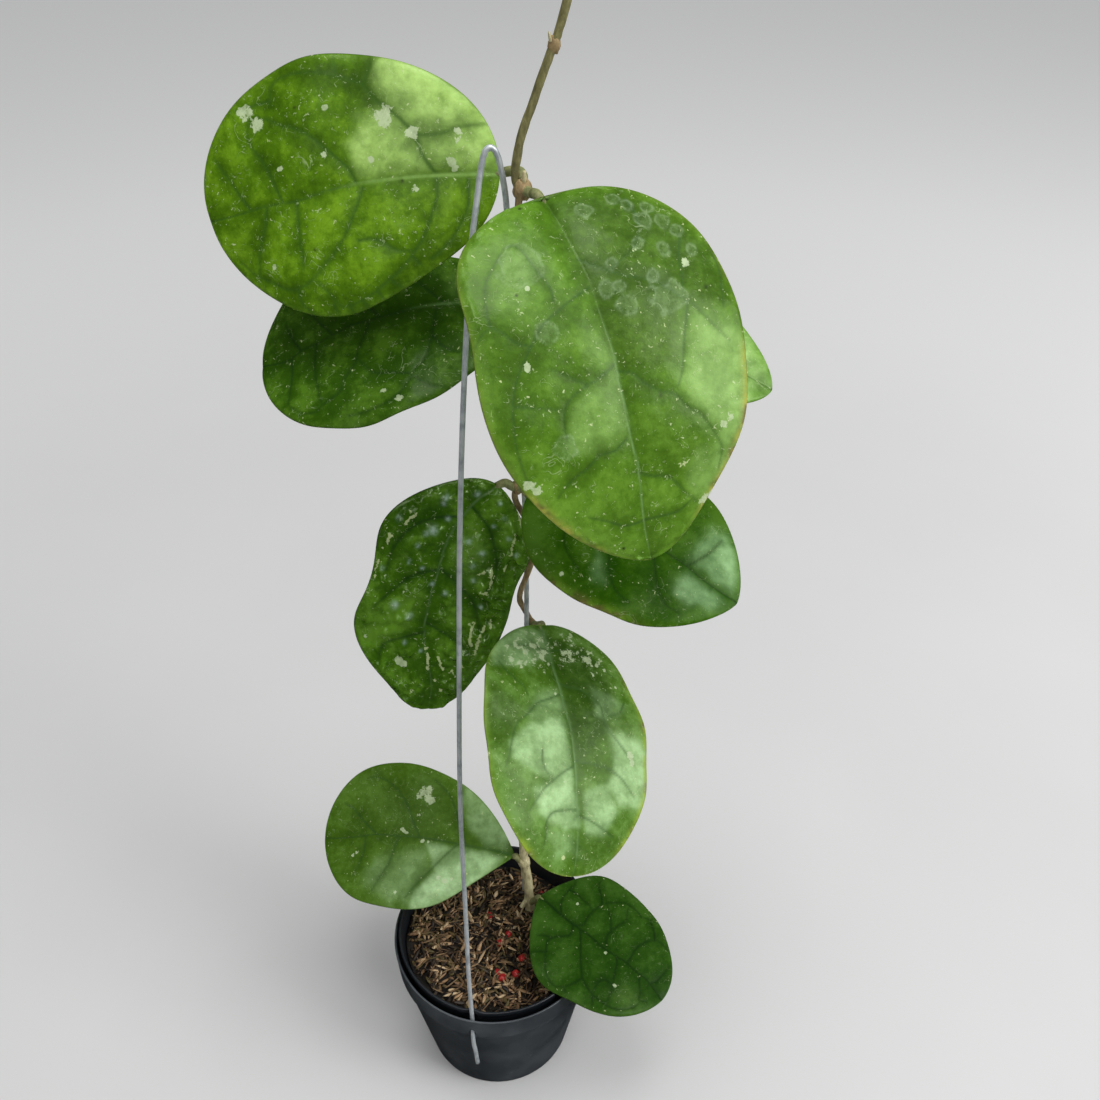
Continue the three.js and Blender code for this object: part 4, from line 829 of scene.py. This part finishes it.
def blade_normal(leaf, t, v):
    """Cross product of the differences of the middle surface along and across."""
    t = np.clip(t, 0.004, 0.996)
    across = (blade_middle(leaf, t, np.minimum(v + 0.01, 1))
              - blade_middle(leaf, t, np.maximum(v - 0.01, -1)))
    ahead = blade_middle(leaf, t + 0.003, v) - blade_middle(leaf, t - 0.003, v)
    return unit(np.cross(across, ahead))


def flat_plane(leaf, t, v):
    """The blade laid flat: x = v times the half width, y = t times the length."""
    return np.stack([v * half_width(leaf, t, v), t * leaf["length"]], -1)


def flat_course(leaf, text):
    """A row of places, laid flat."""
    return flat_plane(leaf, *np.array(rows_of(text)).T)


def leaf_tones(leaf, t, v, seed):
    """Relief height and tones over the blade. d is the distance to the nearest vein or
    the midrib: the cell tone is 1 - exp(-(d/size)^2), a vein's line exp(-(d/width)^2)
    fading along it. Relief = quilt * cell - groove * line - the midrib's valley +
    blisters and streaks + bumps, pleats, slow waves and the margin's row of beads from
    noise, calmed to nothing at the margin by 1 - v^8."""
    flat = flat_plane(leaf, t, v)
    x, y = flat[..., 0], flat[..., 1]
    nothing = np.zeros_like(x)

    def cloud(size, number):
        return soft_noise(x, y, size, seed + number)

    def marks(key, places=2):
        """Distance to each mark of a kind, a place or a stroke, and its other numbers."""
        for row in rows_of(leaf.get(key, ""), places):
            path = flat_plane(leaf, *np.array(row[:places]).reshape(-1, 2).T)
            if places == 2:
                yield (np.hypot(x - path[0, 0], y - path[0, 1]), *row[places:])
            else:
                yield (way_to_path(x, y, path)[0], *row[places:])

    def blots(key, soft=1.0):
        """The largest of exp(-(d/size)^2) over the marks."""
        return np.max([nothing] + [np.exp(-(gap / (size * soft)) ** 2)
                                   for gap, size in marks(key)], axis=0)

    def within(key):
        """Strength inside an outline, eased to 0 over its soft edge, which wavers."""
        mark = nothing
        for outline in filter(str.strip, leaf.get(key, "").split(";")):
            head, corners = outline.split(":")
            strength, soft = (float(part) for part in head.split())
            rim = flat_course(leaf, corners)
            rim = np.vstack([rim, rim[:1]])
            gap, _ = way_to_path(x, y, rim)
            (ax, ay), (bx, by) = rim[:-1].T, rim[1:].T
            crossed = (ay > y[..., None]) != (by > y[..., None])
            at = ax + (y[..., None] - ay) * (bx - ax) / np.where(by == ay, 1e-9, by - ay)
            inside = (crossed & (x[..., None] < at)).sum(-1) % 2 == 1
            gap = np.where(inside, gap, -gap) + 0.5 * soft * cloud(4, 9)
            mark = np.maximum(mark, strength / (1 + np.exp(-2.6 * gap / soft)))
        return mark

    line, nearest = nothing, np.full_like(x, 1e9)
    for text in leaf["veins"].split(";"):
        gap, share = way_to_path(x, y, smooth_through(flat_course(leaf, text), 5))
        line = np.maximum(line, np.exp(-(gap / leaf["vein_width"]) ** 2) * (1 - 0.45 * share))
        nearest = np.minimum(nearest, gap + 4.0 * share ** 3)
    gap, _ = way_to_path(x, y, smooth_through(flat_course(leaf, leaf["midrib"]), 8))
    nearest = np.minimum(nearest, gap)
    rib_width = (0.34 + 0.42 * (1 - t) ** 2) * leaf.get("rib", 1.0)
    rib = np.exp(-(gap / rib_width) ** 2)
    pale = (1 / (1 + np.exp((t - leaf["pale_to"]) * 30))
            / (1 + np.exp((leaf.get("pale_from", -1) - t) * 25)))
    line = np.maximum(line, rib * (1 - pale) * leaf["dark_beyond"])
    cell = 1 - np.exp(-(nearest / leaf.get("cell", 4.5)) ** 2)

    grain = leaf.get("bump_size", 7.5)
    noise = cloud(grain, 0) + 0.5 * cloud(grain / 2, 1)
    pleats = (leaf.get("pleats", 0.0) * soft_noise(x, y + 0.3 * x, 2.6, seed + 7)
              * np.clip(-2.2 * v - 0.7, 0, 1))
    deep, reach = leaf.get("valley", (0.5, 3.0))
    valley = deep * np.exp(-gap / reach) * (0.35 + 0.65 * np.exp(-(t / 0.3) ** 2))
    from_edge = (1 - np.abs(v)) * half_width(leaf, t, v)
    beads = np.exp(-((from_edge - 2.2) / 1.3) ** 2) * np.maximum(cloud(2.6, 6), -0.2)
    streaks = list(marks("streaks", 4))
    raised = sum((0.45 * size * np.exp(-(gap / (1.15 * size)) ** 2)
                  for gap, size in marks("blisters")), nothing)
    raised = sum((0.55 * wide * np.exp(-(gap / wide) ** 2) for gap, wide in streaks), raised)
    relief = (leaf["quilt"] * cell + raised - leaf["groove"] * np.maximum(line, rib * 0.8)
              - valley + leaf["bumps"] * np.maximum(noise, -0.3) * cell
              + leaf.get("beads", 0.0) * beads + pleats
              + leaf["waves"] * (0.5 * cloud(19, 2) + 0.12 * cloud(9, 3)))

    ring = nothing
    for gap, size in marks("rings"):
        gap = gap * (1 + 0.30 * cloud(2.2, 8)) - size
        ring = np.maximum(ring, np.exp(-(gap / 0.45) ** 2))
        ring = np.maximum(ring, 0.4 / (1 + np.exp(gap * 4)))
    gold = sum((strength * np.exp(-(gap / size) ** 2)
                for gap, size, strength in marks("gold")), nothing)
    upper_tones = dict(
        # Painted highlights inside their outlines, kept off the veins by the cell tone.
        bloom=within("bloom") * (1 - leaf.get("veil", 0.65) * (1 - cell)),
        # The shade outlines are painted shade; the blisters' tone puts painted highlights on their
        # tops.
        shade=within("shade"), ring=ring, blister=blots("blisters", 0.8),
        # The streaks' tone marks painted highlights along their raised ridges.
        streak=np.max([nothing] + [np.exp(-(gap / (0.8 * wide)) ** 2)
                                   for gap, wide in streaks], axis=0),
        gold=np.clip(gold, 0, 1) * np.exp(-(from_edge / 2.3) ** 2),
        crust=np.maximum(blots("crust", 1.3), within("scurf")),
        dark_spot=blots("dark_spots"), tan_spot=blots("tan_spots"))
    both_tones = dict(vein=line, midrib=rib * pale, cell=cell, margin=np.exp(-from_edge / 0.7))
    return relief * (1 - np.abs(v) ** 8), upper_tones, both_tones, flat


def leaf_blade(name, leaf, material, seed):
    """Closed thin blade: at each t a ring that crosses the upper face, rounds the
    margin and comes back along the lower face. Its offset from the middle surface along
    the normal is relief +- half the thickness h, where h = (0.36 + 0.3 b)
    sqrt(1 - |v|^22) min(1, 6 sqrt(t(1-t))) and b = sqrt(sin(pi t) (1 - v^2)). The rows
    are closer at both ends, t = (1 - cos(pi k/n))/2, and the columns at the margins,
    v = 0.62 s + 0.38 sin(pi s/2)."""
    rows = int(leaf["length"] / 0.45)
    upper, lower = int(leaf["width"] / 0.46), int(leaf["width"] / 1.3)
    s = np.linspace(-1, 1, upper)
    v_line = np.concatenate([0.62 * s + 0.38 * np.sin(np.pi * s / 2),
                             np.linspace(1, -1, lower + 2)[1:-1]])
    t_line = (1 - np.cos(np.pi * np.arange(1, rows) / rows)) / 2
    t, v = np.meshgrid(t_line, v_line, indexing="ij")
    face = np.broadcast_to(np.repeat([1.0, -1.0], [upper, lower]), t.shape)
    relief, upper_tones, tones, flat = leaf_tones(leaf, t, v, seed)
    body = np.sqrt(np.sin(np.pi * t)) * np.sqrt(np.clip(1 - v * v, 0, 1))
    half = ((0.36 + 0.3 * body) * np.sqrt(np.clip(1 - np.abs(v) ** 22, 0, 1))
            * np.minimum(1, 6 * np.sqrt(t * (1 - t))))
    rings = blade_middle(leaf, t, v) + blade_normal(leaf, t, v) * (relief + face * half)[..., None]
    ends = blade_middle(leaf, np.array([0.0, 1.0]), np.array([0.0, 0.0]))
    points, faces = closed_rings(rings, *ends)
    tones.update({key: tone * (face > 0) for key, tone in upper_tones.items()})
    tones["underside"] = np.where(face < 0, 1.0, 0.0)
    tones = {key: np.append(tone, tone.ravel()[[0, -1]]) for key, tone in tones.items()}
    plane = np.vstack([flat.reshape(-1, 2), [[0, 0], [0, leaf["length"]]]])
    put_piece(name + "_blade", points, faces, material, SLOTS[name], (name,), tones, plane)


def petiole(name, leaf, material, seed):
    """Leaf stalk: a round section carried from the node to the blade and on below the
    midrib, under the relief, its radius easing from 1.75 to 0.35 mm."""
    t = np.array([0.9, 5.4, 12, 22, 34]) / leaf["length"]
    line = np.interp(t, *np.array(rows_of(leaf["midrib"])).T)
    depth = leaf_tones(leaf, t, line, seed)[0] - np.array([0.9, 1.1, 1.05, 0.85, 0.6])
    under = blade_middle(leaf, t, line) + blade_normal(leaf, t, line) * depth[:, None]
    path = smooth_through(np.vstack([leaf["petiole"], under]), 8)
    start = -len(leaf["petiole"])
    station = np.arange(len(path)) / 8 + start
    radii = np.interp(station, [start, start + 1, -1, 0, 1, 2, 3, 4],
                      [1.75, 1.5, 1.55, 1.3, 1.05, 0.85, 0.6, 0.35])
    lumps = soft_noise(station[:, None] * 4, np.arange(16)[None, :] * 1.0, 2.0, 7)
    points, faces = carried_section(path, radii[:, None] * (1 + 0.05 * lumps), 16)
    put_piece(name + "_stalk", points, faces, material, SLOTS[name], (name,))


# ------------------------------------------------------------------ wire hoop and stem

FRONT_LEG = [
    (-8.8, -44.9, 40.2), (-9.3, -45.1, 50), (-9.8, -45, 55.6), (-10, -44, 58.8),
    (-10, -42.3, 62.4), (-9.9, -41.8, 67), (-10, -41.2, 73), (-10.4, -37.6, 91),
    (-10.3, -31.6, 123), (-10, -20.6, 181), (-7.8, -10.2, 238), (-5, 0.3, 294),
    (-2.4, 7.1, 331), (0.5, 13.3, 364), (2, 16.4, 379), (4.3, 18.8, 393), (5.6, 19.9, 400.6),
    (6.5, 20.4, 404.3), (7.25, 20.5, 405.95), (8.4, 20.6, 406.6)]
REAR_LEG = [
    (9.5, 20.65, 406.1), (10.3, 20.7, 404.6), (11.3, 20.8, 400.6), (12.2, 21, 395),
    (12.9, 21.2, 386), (14.8, 22, 330), (16.8, 23, 270), (16.7, 23.1, 244), (15.9, 24.2, 200),
    (14.6, 25.4, 140), (13.7, 26, 92), (13.1, 26.7, 55), (12.8, 27.2, 22)]
TWINE = np.array([  # height, direction from the rear leg in degrees, distance from it
    (48, -74, 10.5), (62, -74, 10), (80, -80, 8.4), (92, -91, 7.1), (120, -100, 5.6),
    (150, -96, 4.3), (185, -60, 2.9), (208, -10, 2.7), (228, 55, 3.2), (242, 180, 2.7),
    (254, 270, 2.7), (265, 350, 2.7), (293, 590, 3.4), (330, 790, 2.8), (362, 974, 3.3),
    (384, 1030, 3.8), (395, 1049, 5)])
VINE = [
    (16.6, 18.6, 394.5), (15.3, 19, 399), (15.9, 19, 404), (17.1, 19, 409.6),
    (19.2, 19, 415.5), (21.5, 19, 421.5), (23.5, 19, 427), (25.2, 19, 431.2), (26.4, 19, 434),
    (27.5, 19, 437), (28.9, 19, 441.5), (30.6, 18.8, 448), (32, 18.6, 455), (32.4, 18.5, 461),
    (32.6, 18.5, 466.5)]
LOW_NODES = [((15.9, 17.2, 65), 2.5, 1.5), ((13.5, 18.9, 92.4), 2.7, 1.4)]  # radius, stretch
HIGH_NODES = [
    ((18.2, 25.2, 227), 1.9, 1.4), ((14, 19.8, 293), 2.0, 1.4), ((12.9, 18.4, 362), 2.0, 1.4),
    ((17.4, 18.4, 395.4), 2.7, 1.15), ((26.3, 19, 433.6), 1.8, 1.3)]
SHOOTS = [  # path, first and last radius
    (((15.2, 17.2, 68.5), (13.4, 15.6, 66.8), (11.8, 14.3, 65.2)), 1.3, 1.1),
    (((17.2, 18.4, 396), (17.8, 17.6, 399), (17.9, 17.2, 401)), 0.95, 0.5),
    (((26.2, 19, 433.2), (25.3, 18.3, 435), (24.9, 18, 437)), 0.7, 0.3)]


def twining_line(heights):
    """The stem's centre: at each height the rear leg's place plus the table's distance
    in the table's direction, all read by straight lines."""
    leg = np.array(REAR_LEG)[::-1]
    turn = np.radians(np.interp(heights, TWINE[:, 0], TWINE[:, 1]))
    away = np.interp(heights, TWINE[:, 0], TWINE[:, 2])
    x = np.interp(heights, leg[:, 2], leg[:, 0]) + away * np.cos(turn)
    y = np.interp(heights, leg[:, 2], leg[:, 1]) + away * np.sin(turn)
    return np.stack([x, y, heights], 1)


def lumpy(radii, seed, sides, depth=0.1, long=4.0):
    """Radii for every station and side, times 1 plus soft noise."""
    station = np.arange(len(radii))[:, None] * 1.0
    side = np.abs(np.arange(sides) - sides / 2)[None, :]
    return np.asarray(radii)[:, None] * (1 + depth * soft_noise(station, side, long, seed))


def make_wire(material):
    """The hoop: one drawn wire 1.8 mm thick from the tail outside the pot, through the
    wall, over the top and down into the mix, its tail end cut square."""
    path = smooth_through(FRONT_LEG + REAR_LEG, 8)
    points, faces = carried_section(path, np.full(len(path), 0.9), 18)
    put_piece("wire_hoop_drawn", points, faces, material, "wire", ("wire_hoop",))


def make_stem(cork, bark, green_bark):
    """Corky foot, twining stem (its line averaged over nine stations), climbing vine,
    node knobs and short shoots."""
    def put(name, part, material):
        put_piece(name, *part, material, "stem", ("stem",))
    foot = twining_line(np.linspace(48, 188, 90))
    thick = np.interp(foot[:, 2], [48, 70, 95, 130, 188], [2.3, 2.2, 2.05, 1.9, 1.3])
    put("stem_foot", carried_section(foot, lumpy(thick, 31, 18, 0.16, 2.6), 18), cork)
    climb = twining_line(np.linspace(180, 395, 260))
    climb = np.stack([np.convolve(np.pad(climb[:, k], 4, "edge"), np.ones(9) / 9, "valid")
                      for k in range(3)], 1)
    slim = np.full(len(climb), 1.08)
    put("stem_twining", carried_section(climb, lumpy(slim, 32, 14), 14), bark)
    vine = smooth_through(VINE, 10)
    thin = np.interp(np.linspace(0, 1, len(vine)), [0, 0.8, 0.97, 1], [1.25, 1.15, 1.0, 0.35])
    put("vine_top", carried_section(vine, lumpy(thin, 33, 14, 0.08), 14), green_bark)
    for name, nodes, first_seed, material in (("stem_low_nodes", LOW_NODES, 40, cork),
                                              ("stem_nodes", HIGH_NODES, 50, bark)):
        knobs = [knob(np.array(place), radius, stretch, seed)
                 for seed, (place, radius, stretch) in enumerate(nodes, first_seed)]
        put(name, joined(knobs), material)
    shoots = []
    for path, start, end in SHOOTS:
        line = smooth_through(path, 6)
        shoots.append(carried_section(line, np.linspace(start, end, len(line)), 12))
    put("stem_shoots", joined(shoots), cork)


# ------------------------------------------------------------------ pots and mix

def from_turn(turn, middle):
    """Angle from the middle one, between -pi and pi."""
    return (turn - middle + np.pi) % (2 * np.pi) - np.pi


def walled_bowl(name, outer, inner, centre, holes, dents, material, slot, replaced):
    """Turned wall of paired points: the outer profile (radius, height) from the axis to
    the rim and the inner one beside it, both turned round the axis. A hole takes out a
    block of cells from both faces and joins their edges; near it the grid is drawn from
    the square block to an ellipse. A dent pulls the wall in by a Gaussian of the
    distance along the wall."""
    m, n = len(outer), 192
    blend = 5  # cells over which the grid eases back to even round a hole
    angle = 2 * np.pi * np.arange(n) / n
    j, i = np.meshgrid(np.arange(m), np.arange(n), indexing="ij")
    row, turn = j.astype(float), angle[i]
    gone = np.zeros((m - 1, n), bool)
    for at_row, at_turn, size, wide, tall in holes:
        middle = int(round(at_turn / (2 * np.pi) * n)) % n
        across = (i - middle + n // 2) % n - n // 2
        up = j - at_row
        ring = np.maximum(np.abs(across), np.abs(up))
        step = np.hypot(*(outer[at_row + 1] - outer[at_row]))
        length = np.maximum(np.hypot(across, up), 1e-6)
        share = ease(np.clip((size + blend - ring) / blend, 0, 1))
        round_turn = across / length * wide * ring / size / outer[at_row, 0] + angle[middle]
        round_row = up / length * tall * ring / size / step + at_row
        turn = np.where(ring < size + blend, turn + share * from_turn(round_turn, turn), turn)
        row = np.where(ring < size + blend, row + share * (round_row - row), row)
        inside = (up >= -size) & (up < size) & (across >= -size) & (across < size)
        gone |= inside[:-1]
    skins = []
    for profile in (outer, inner):
        r = np.interp(row, np.arange(m), profile[:, 0])
        z = np.interp(row, np.arange(m), profile[:, 1])
        for at_turn, at_height, depth, spread_turn, spread_height in dents:
            gap = from_turn(turn, at_turn) * r
            r = r - depth * np.exp(
                -(gap / spread_turn) ** 2 - ((z - at_height) / spread_height) ** 2)
        skins.append(np.stack([r * np.cos(turn) + centre[0], r * np.sin(turn) + centre[1], z], -1))
    points = np.vstack([skin[1:].reshape(-1, 3) for skin in skins]
                       + [[[*centre, outer[0][1]], [*centre, inner[0][1]]]])
    count = (m - 1) * n

    def walls(p, q, flip):
        """Quads between the two faces over the edges p-q, turned round where flip is."""
        return np.where(flip[:, None], np.stack([p, q, q + count, p + count], 1),
                        np.stack([p, p + count, q + count, q], 1))

    solid = gone[1:]
    kj, ki = np.nonzero(~solid)
    a, b = kj * n + ki, kj * n + (ki + 1) % n
    here, after = np.arange(n), (np.arange(n) + 1) % n
    top = (m - 2) * n
    upright_j, upright_i = np.nonzero(solid != np.roll(solid, 1, axis=1))
    upright = upright_j * n + upright_i
    below = np.vstack([np.zeros((1, n), bool), solid[:-1]])
    level_j, level_i = np.nonzero(solid != below)
    quads = np.vstack([
        np.stack([a, b, b + n, a + n], 1), np.stack([a, a + n, b + n, b], 1) + count,
        walls(top + here, top + after, np.ones(n, bool)),
        walls(upright, upright + n, solid[upright_j, upright_i]),
        walls(level_j * n + level_i, level_j * n + (level_i + 1) % n, ~solid[level_j, level_i])])
    fans = np.vstack([np.stack([np.full(n, 2 * count), after, here], 1),
                      np.stack([np.full(n, 2 * count + 1), here + count, after + count], 1)])
    put_piece(name, points, [quads, fans], material, slot, replaced)


def cut_runs(corners, counts):
    """Straight runs between corners, each cut into its count of equal steps."""
    corners = np.array(corners, float)
    runs = [np.linspace(a, b, k, endpoint=False)
            for a, b, k in zip(corners[:-1], corners[1:], counts)]
    return np.vstack(runs + [corners[-1:]])


RUNS = [10, 8, 8, 2, 40, 2, 3, 2]  # steps of the first runs of both pots' profiles
DRAIN_HOLES = [  # row, direction, half the block's cells, half width and half height
    (14, 2 * math.pi * (k + 0.5) / 6, 4, 3.0, 3.0) for k in range(6)]
INNER_CENTRE = (0.2, 0.9)
MIX_HEIGHT = 62.5
KEEP_CLEAR = [((15.9, 17.2), 3.4), ((13.1, 26.7), 2.2)]  # stem's foot and wire: place, room


def make_outer_pot(material):
    """Outer nursery pot: tapered wall with a faint collar line 13 mm below the rim, and
    the wire's hole in a small bulge."""
    counts = RUNS + [16, 2, 2, 1]
    outer = cut_runs([(0, 0), (19, 0), (25, 0), (32.4, 0), (33, 0.5), (43.12, 56.4),
                      (43.3, 56.9), (44.1, 57.4), (44.28, 57.9), (44.9, 69.1), (45, 69.5),
                      (44.9, 69.85), (44.65, 70)], counts)
    inner = cut_runs([(0, 2), (19, 2), (25, 2), (31.2, 2), (31.9, 2.6), (41.92, 55.2),
                      (42.1, 55.9), (42.6, 57.4), (42.95, 58.6), (43.9, 69.1), (43.98, 69.5),
                      (44.1, 69.85), (44.35, 70)], counts)
    wire_turn = math.atan2(-43.5, -9.95)
    holes = DRAIN_HOLES + [(sum(RUNS) + 4, wire_turn, 2, 1.35, 2.7)]
    walled_bowl("outer_pot_wall", outer, inner, (0, 0), holes,
                [(wire_turn, 60.5, -0.35, 2.4, 3.4)], material, "outer_pot", ("outer_pot",))


def make_inner_pot(material):
    """Inner pot: thinner, standing 3 mm above the outer rim, with a small rolled lip
    that is pressed in behind the wire."""
    counts = RUNS + [1]
    outer = cut_runs([(0, 2.3), (19, 2.3), (25, 2.3), (30.2, 2.3), (30.6, 2.8), (43, 70.5),
                      (43.3, 71), (43.3, 72.5), (43.15, 72.8), (42.9, 72.9)], counts)
    inner = cut_runs([(0, 3.9), (19, 3.9), (25, 3.9), (29.2, 3.9), (29.6, 4.4), (41.8, 70.5),
                      (41.95, 71), (42.1, 72.5), (42.25, 72.8), (42.5, 72.9)], counts)
    wire_turn = math.atan2(-41.6 - 0.9, -10 - 0.2)
    walled_bowl("inner_pot_wall", outer, inner, INNER_CENTRE, DRAIN_HOLES,
                [(wire_turn, 72, 1.25, 2.2, 12.0)], material, "inner_pot", ("inner_pot",))


def mix_plane(x, y):
    """Height of the mix without its lumps: 62.5 - 0.07x - 0.05y."""
    return MIX_HEIGHT - 0.07 * x - 0.05 * y


def mix_surface(x, y):
    """Height of the mix: the plane with soft noise on top."""
    return mix_plane(x, y) + 0.9 * soft_noise(x, y, 5, 81) + 0.5 * soft_noise(x, y, 2.2, 82)


def make_mix_bed(material):
    """The bed: rings from the middle out to the wall at the mix height, down the wall
    and in under, 0.4 mm above the inner pot's floor."""
    floor = 4.3
    rho = np.concatenate([np.linspace(0.6, 40.3, 64), [38, 33, 30, 20, 8]])
    drop = np.concatenate([np.zeros(64), [18, 40, 57.6, 57.6, 57.6]])
    angle = 2 * np.pi * np.arange(160) / 160
    r, a = np.meshgrid(rho, angle, indexing="ij")
    x, y = r * np.cos(a), r * np.sin(a)
    z = np.where(drop[:, None] > 0, np.maximum(MIX_HEIGHT - drop[:, None], floor),
                 mix_surface(x, y))
    rings = np.stack([x + INNER_CENTRE[0], y + INNER_CENTRE[1], z], -1)
    middle = float(mix_surface(np.array(0.0), np.array(0.0)))
    points, faces = closed_rings(rings, np.array([*INNER_CENTRE, middle]),
                                 np.array([*INNER_CENTRE, floor]))
    tone = {"own_tone": 0.12 + 0.1 * soft_noise(points[:, 0], points[:, 1], 3, 83)}
    put_piece("mix_bed", points, faces, material, "potting_mix", ("potting_mix",), tone)


def spin(points, angle, one, two):
    """Points turned by an angle in the plane of two axes."""
    c, s = np.cos(angle)[:, None], np.sin(angle)[:, None]
    turned = points.copy()
    turned[..., one] = c * points[..., one] - s * points[..., two]
    turned[..., two] = s * points[..., one] + c * points[..., two]
    return turned


def chips(count, long, wide, thick, lift, tilt, seed, bend=0.12, tone=(0.15, 0.95)):
    """Grains scattered on the bed. One grain is a closed skin of five rings of six
    points, radius sin^0.7 along its length, bent like a husk; every grain is turned,
    tilted, scaled and dropped on the mix's height by whole arrays. Grains that would
    reach the wall, the stem's foot or the wire's rear leg are left out."""
    rng = np.random.default_rng(seed)
    rows, sides = 5, 6
    u = np.arange(1, rows + 1) / (rows + 1)
    girth = 0.5 * (np.sin(np.pi * u) ** 0.7)[:, None]
    a = 2 * np.pi * np.arange(sides) / sides
    ring = np.stack([np.broadcast_to((u - 0.5)[:, None], (rows, sides)), girth * np.cos(a),
                     girth * np.sin(a)], -1)
    shape, faces = closed_rings(ring, np.array([-0.5, 0, 0]), np.array([0.5, 0, 0]))
    size = rng.uniform(0.65, 1.25, (count, 1, 3)) * [long, wide, thick]
    body = shape[None] * size
    body[..., 2] -= bend * body[..., 0] ** 2 / long * rng.uniform(-1, 1.4, (count, 1))
    pitch, roll = rng.normal(0, tilt, count), rng.uniform(-0.7, 0.7, count)
    turn = rng.uniform(0, 2 * np.pi, count)
    body = spin(spin(spin(body, roll, 1, 2), pitch, 0, 2), turn, 0, 1)
    r, w = 39.0 * np.sqrt(rng.uniform(0, 1, count)), rng.uniform(0, 2 * np.pi, count)
    x, y = r * np.cos(w), r * np.sin(w)
    z = mix_surface(x, y) + lift * rng.uniform(0.1, 1.6, count)
    x, y = x + INNER_CENTRE[0], y + INNER_CENTRE[1]
    body += np.stack([x, y, z], -1)[:, None]
    reach = np.hypot(body[..., 0] - INNER_CENTRE[0], body[..., 1] - INNER_CENTRE[1]).max(1)
    keep = reach < 40.4
    for (at_x, at_y), room in KEEP_CLEAR:
        keep &= np.hypot(x - at_x, y - at_y) > room
    body, tones = body[keep], rng.uniform(*tone, count)[keep]
    offset = (np.arange(len(body)) * len(shape))[:, None, None]
    blocks = [(block[None] + offset).reshape(-1, block.shape[1]) for block in faces]
    return body.reshape(-1, 3), blocks, np.repeat(tones, len(shape))


BEADS = [(21, 24.6), (-3.2, 12.4), (11.7, -10.2), (0.6, -17.8), (2.6, -20.3), (8.6, -18.4),
         (1.8, -2.2), (5.6, 2.1)]
GRAINS = {
    "husk_chips": dict(count=1000, long=6.8, wide=1.6, thick=0.9, lift=0.9, tilt=0.36,
                       seed=91, tone=(0.0, 1.02)),
    "short_crumbs": dict(count=800, long=2.6, wide=1.3, thick=1.0, lift=0.8, tilt=0.5,
                         seed=92, tone=(0.0, 0.62)),
    "coir_fibres": dict(count=420, long=9.0, wide=0.55, thick=0.45, lift=1.7, tilt=0.16,
                        seed=93, bend=0.5)}


def make_mix(bed, husk, fibre, beads):
    """The bed, three sorts of grain on it and the feed beads, half sunk in."""
    make_mix_bed(bed)
    for (name, settings), material in zip(GRAINS.items(), (husk, husk, fibre)):
        points, faces, own = chips(**settings)
        put_piece(name, points, faces, material, "potting_mix", ("potting_mix",),
                  {"own_tone": own})
    balls = [knob(np.array([x, y, mix_plane(x, y) + 0.35]), 1.9, 1.0, seed, 10, 14)
             for seed, (x, y) in enumerate(BEADS, 100)]
    put_piece("feed_beads", *joined(balls), beads, "potting_mix", ("potting_mix",))


def make_floor(material):
    """A wide flat sheet under the pot."""
    mesh = bpy.data.meshes.new("floor_sheet")
    mesh.from_pydata([(-9, -9, 0), (9, -9, 0), (9, 9, 0), (-9, 9, 0)], [], [(0, 1, 2, 3)])
    mesh.materials.append(material)
    sheet = add_object("floor_sheet", mesh)
    sheet.visible_glossy = False


# ------------------------------------------------------------------ the whole plant

aim_camera()
light_studio()
make_floor(floor_finish())
make_outer_pot(pot_finish("outer_pot_plastic", (0.036, 0.043, 0.050), (0.102, 0.115, 0.128)))
make_inner_pot(pot_finish("inner_pot_plastic", (0.006, 0.009, 0.013), (0.014, 0.018, 0.024)))
make_mix(
    # The bed's near-black is partly the mix's own dark colour and partly painted shade in the gaps
    # between the grains.
    mix_finish("mix_dark_bed", (0.0, (0.004, 0.003, 0.002)), (0.5, (0.022, 0.014, 0.008)),
               (1, (0.09, 0.055, 0.030))),
    mix_finish("husk_tan", (0.0, (0.008, 0.005, 0.003)), (0.32, (0.034, 0.020, 0.011)),
               (0.46, (0.095, 0.075, 0.022)), (0.60, (0.150, 0.080, 0.036)),
               (0.84, (0.360, 0.215, 0.105)), (1, (0.58, 0.43, 0.25)), rough=0.55),
    mix_finish("coir_brown", (0.0, (0.03, 0.015, 0.008)), (0.5, (0.12, 0.065, 0.03)),
               (1, (0.30, 0.20, 0.10))),
    bead_finish())
make_wire(wire_finish())
make_stem(
    bark_finish("stem_cork", (0.72, 0.66, 0.41), (0.57, 0.51, 0.28), (0.30, 0.24, 0.12)),
    bark_finish("stem_bark", (0.46, 0.35, 0.18), (0.29, 0.20, 0.085), (0.12, 0.080, 0.035)),
    bark_finish("vine_bark", (0.30, 0.28, 0.12), (0.175, 0.160, 0.055), (0.085, 0.080, 0.030),
                0.6))
stalk = bark_finish("stalk_skin", (0.34, 0.33, 0.15), (0.20, 0.22, 0.08), (0.11, 0.12, 0.04),
                    0.5)
for number, (name, leaf) in enumerate(LEAVES.items()):
    leaf_blade(name, leaf, leaf_finish(name + "_green", **leaf["finish"]), 10 * number + 3)
    petiole(name, leaf, stalk, 10 * number + 3)
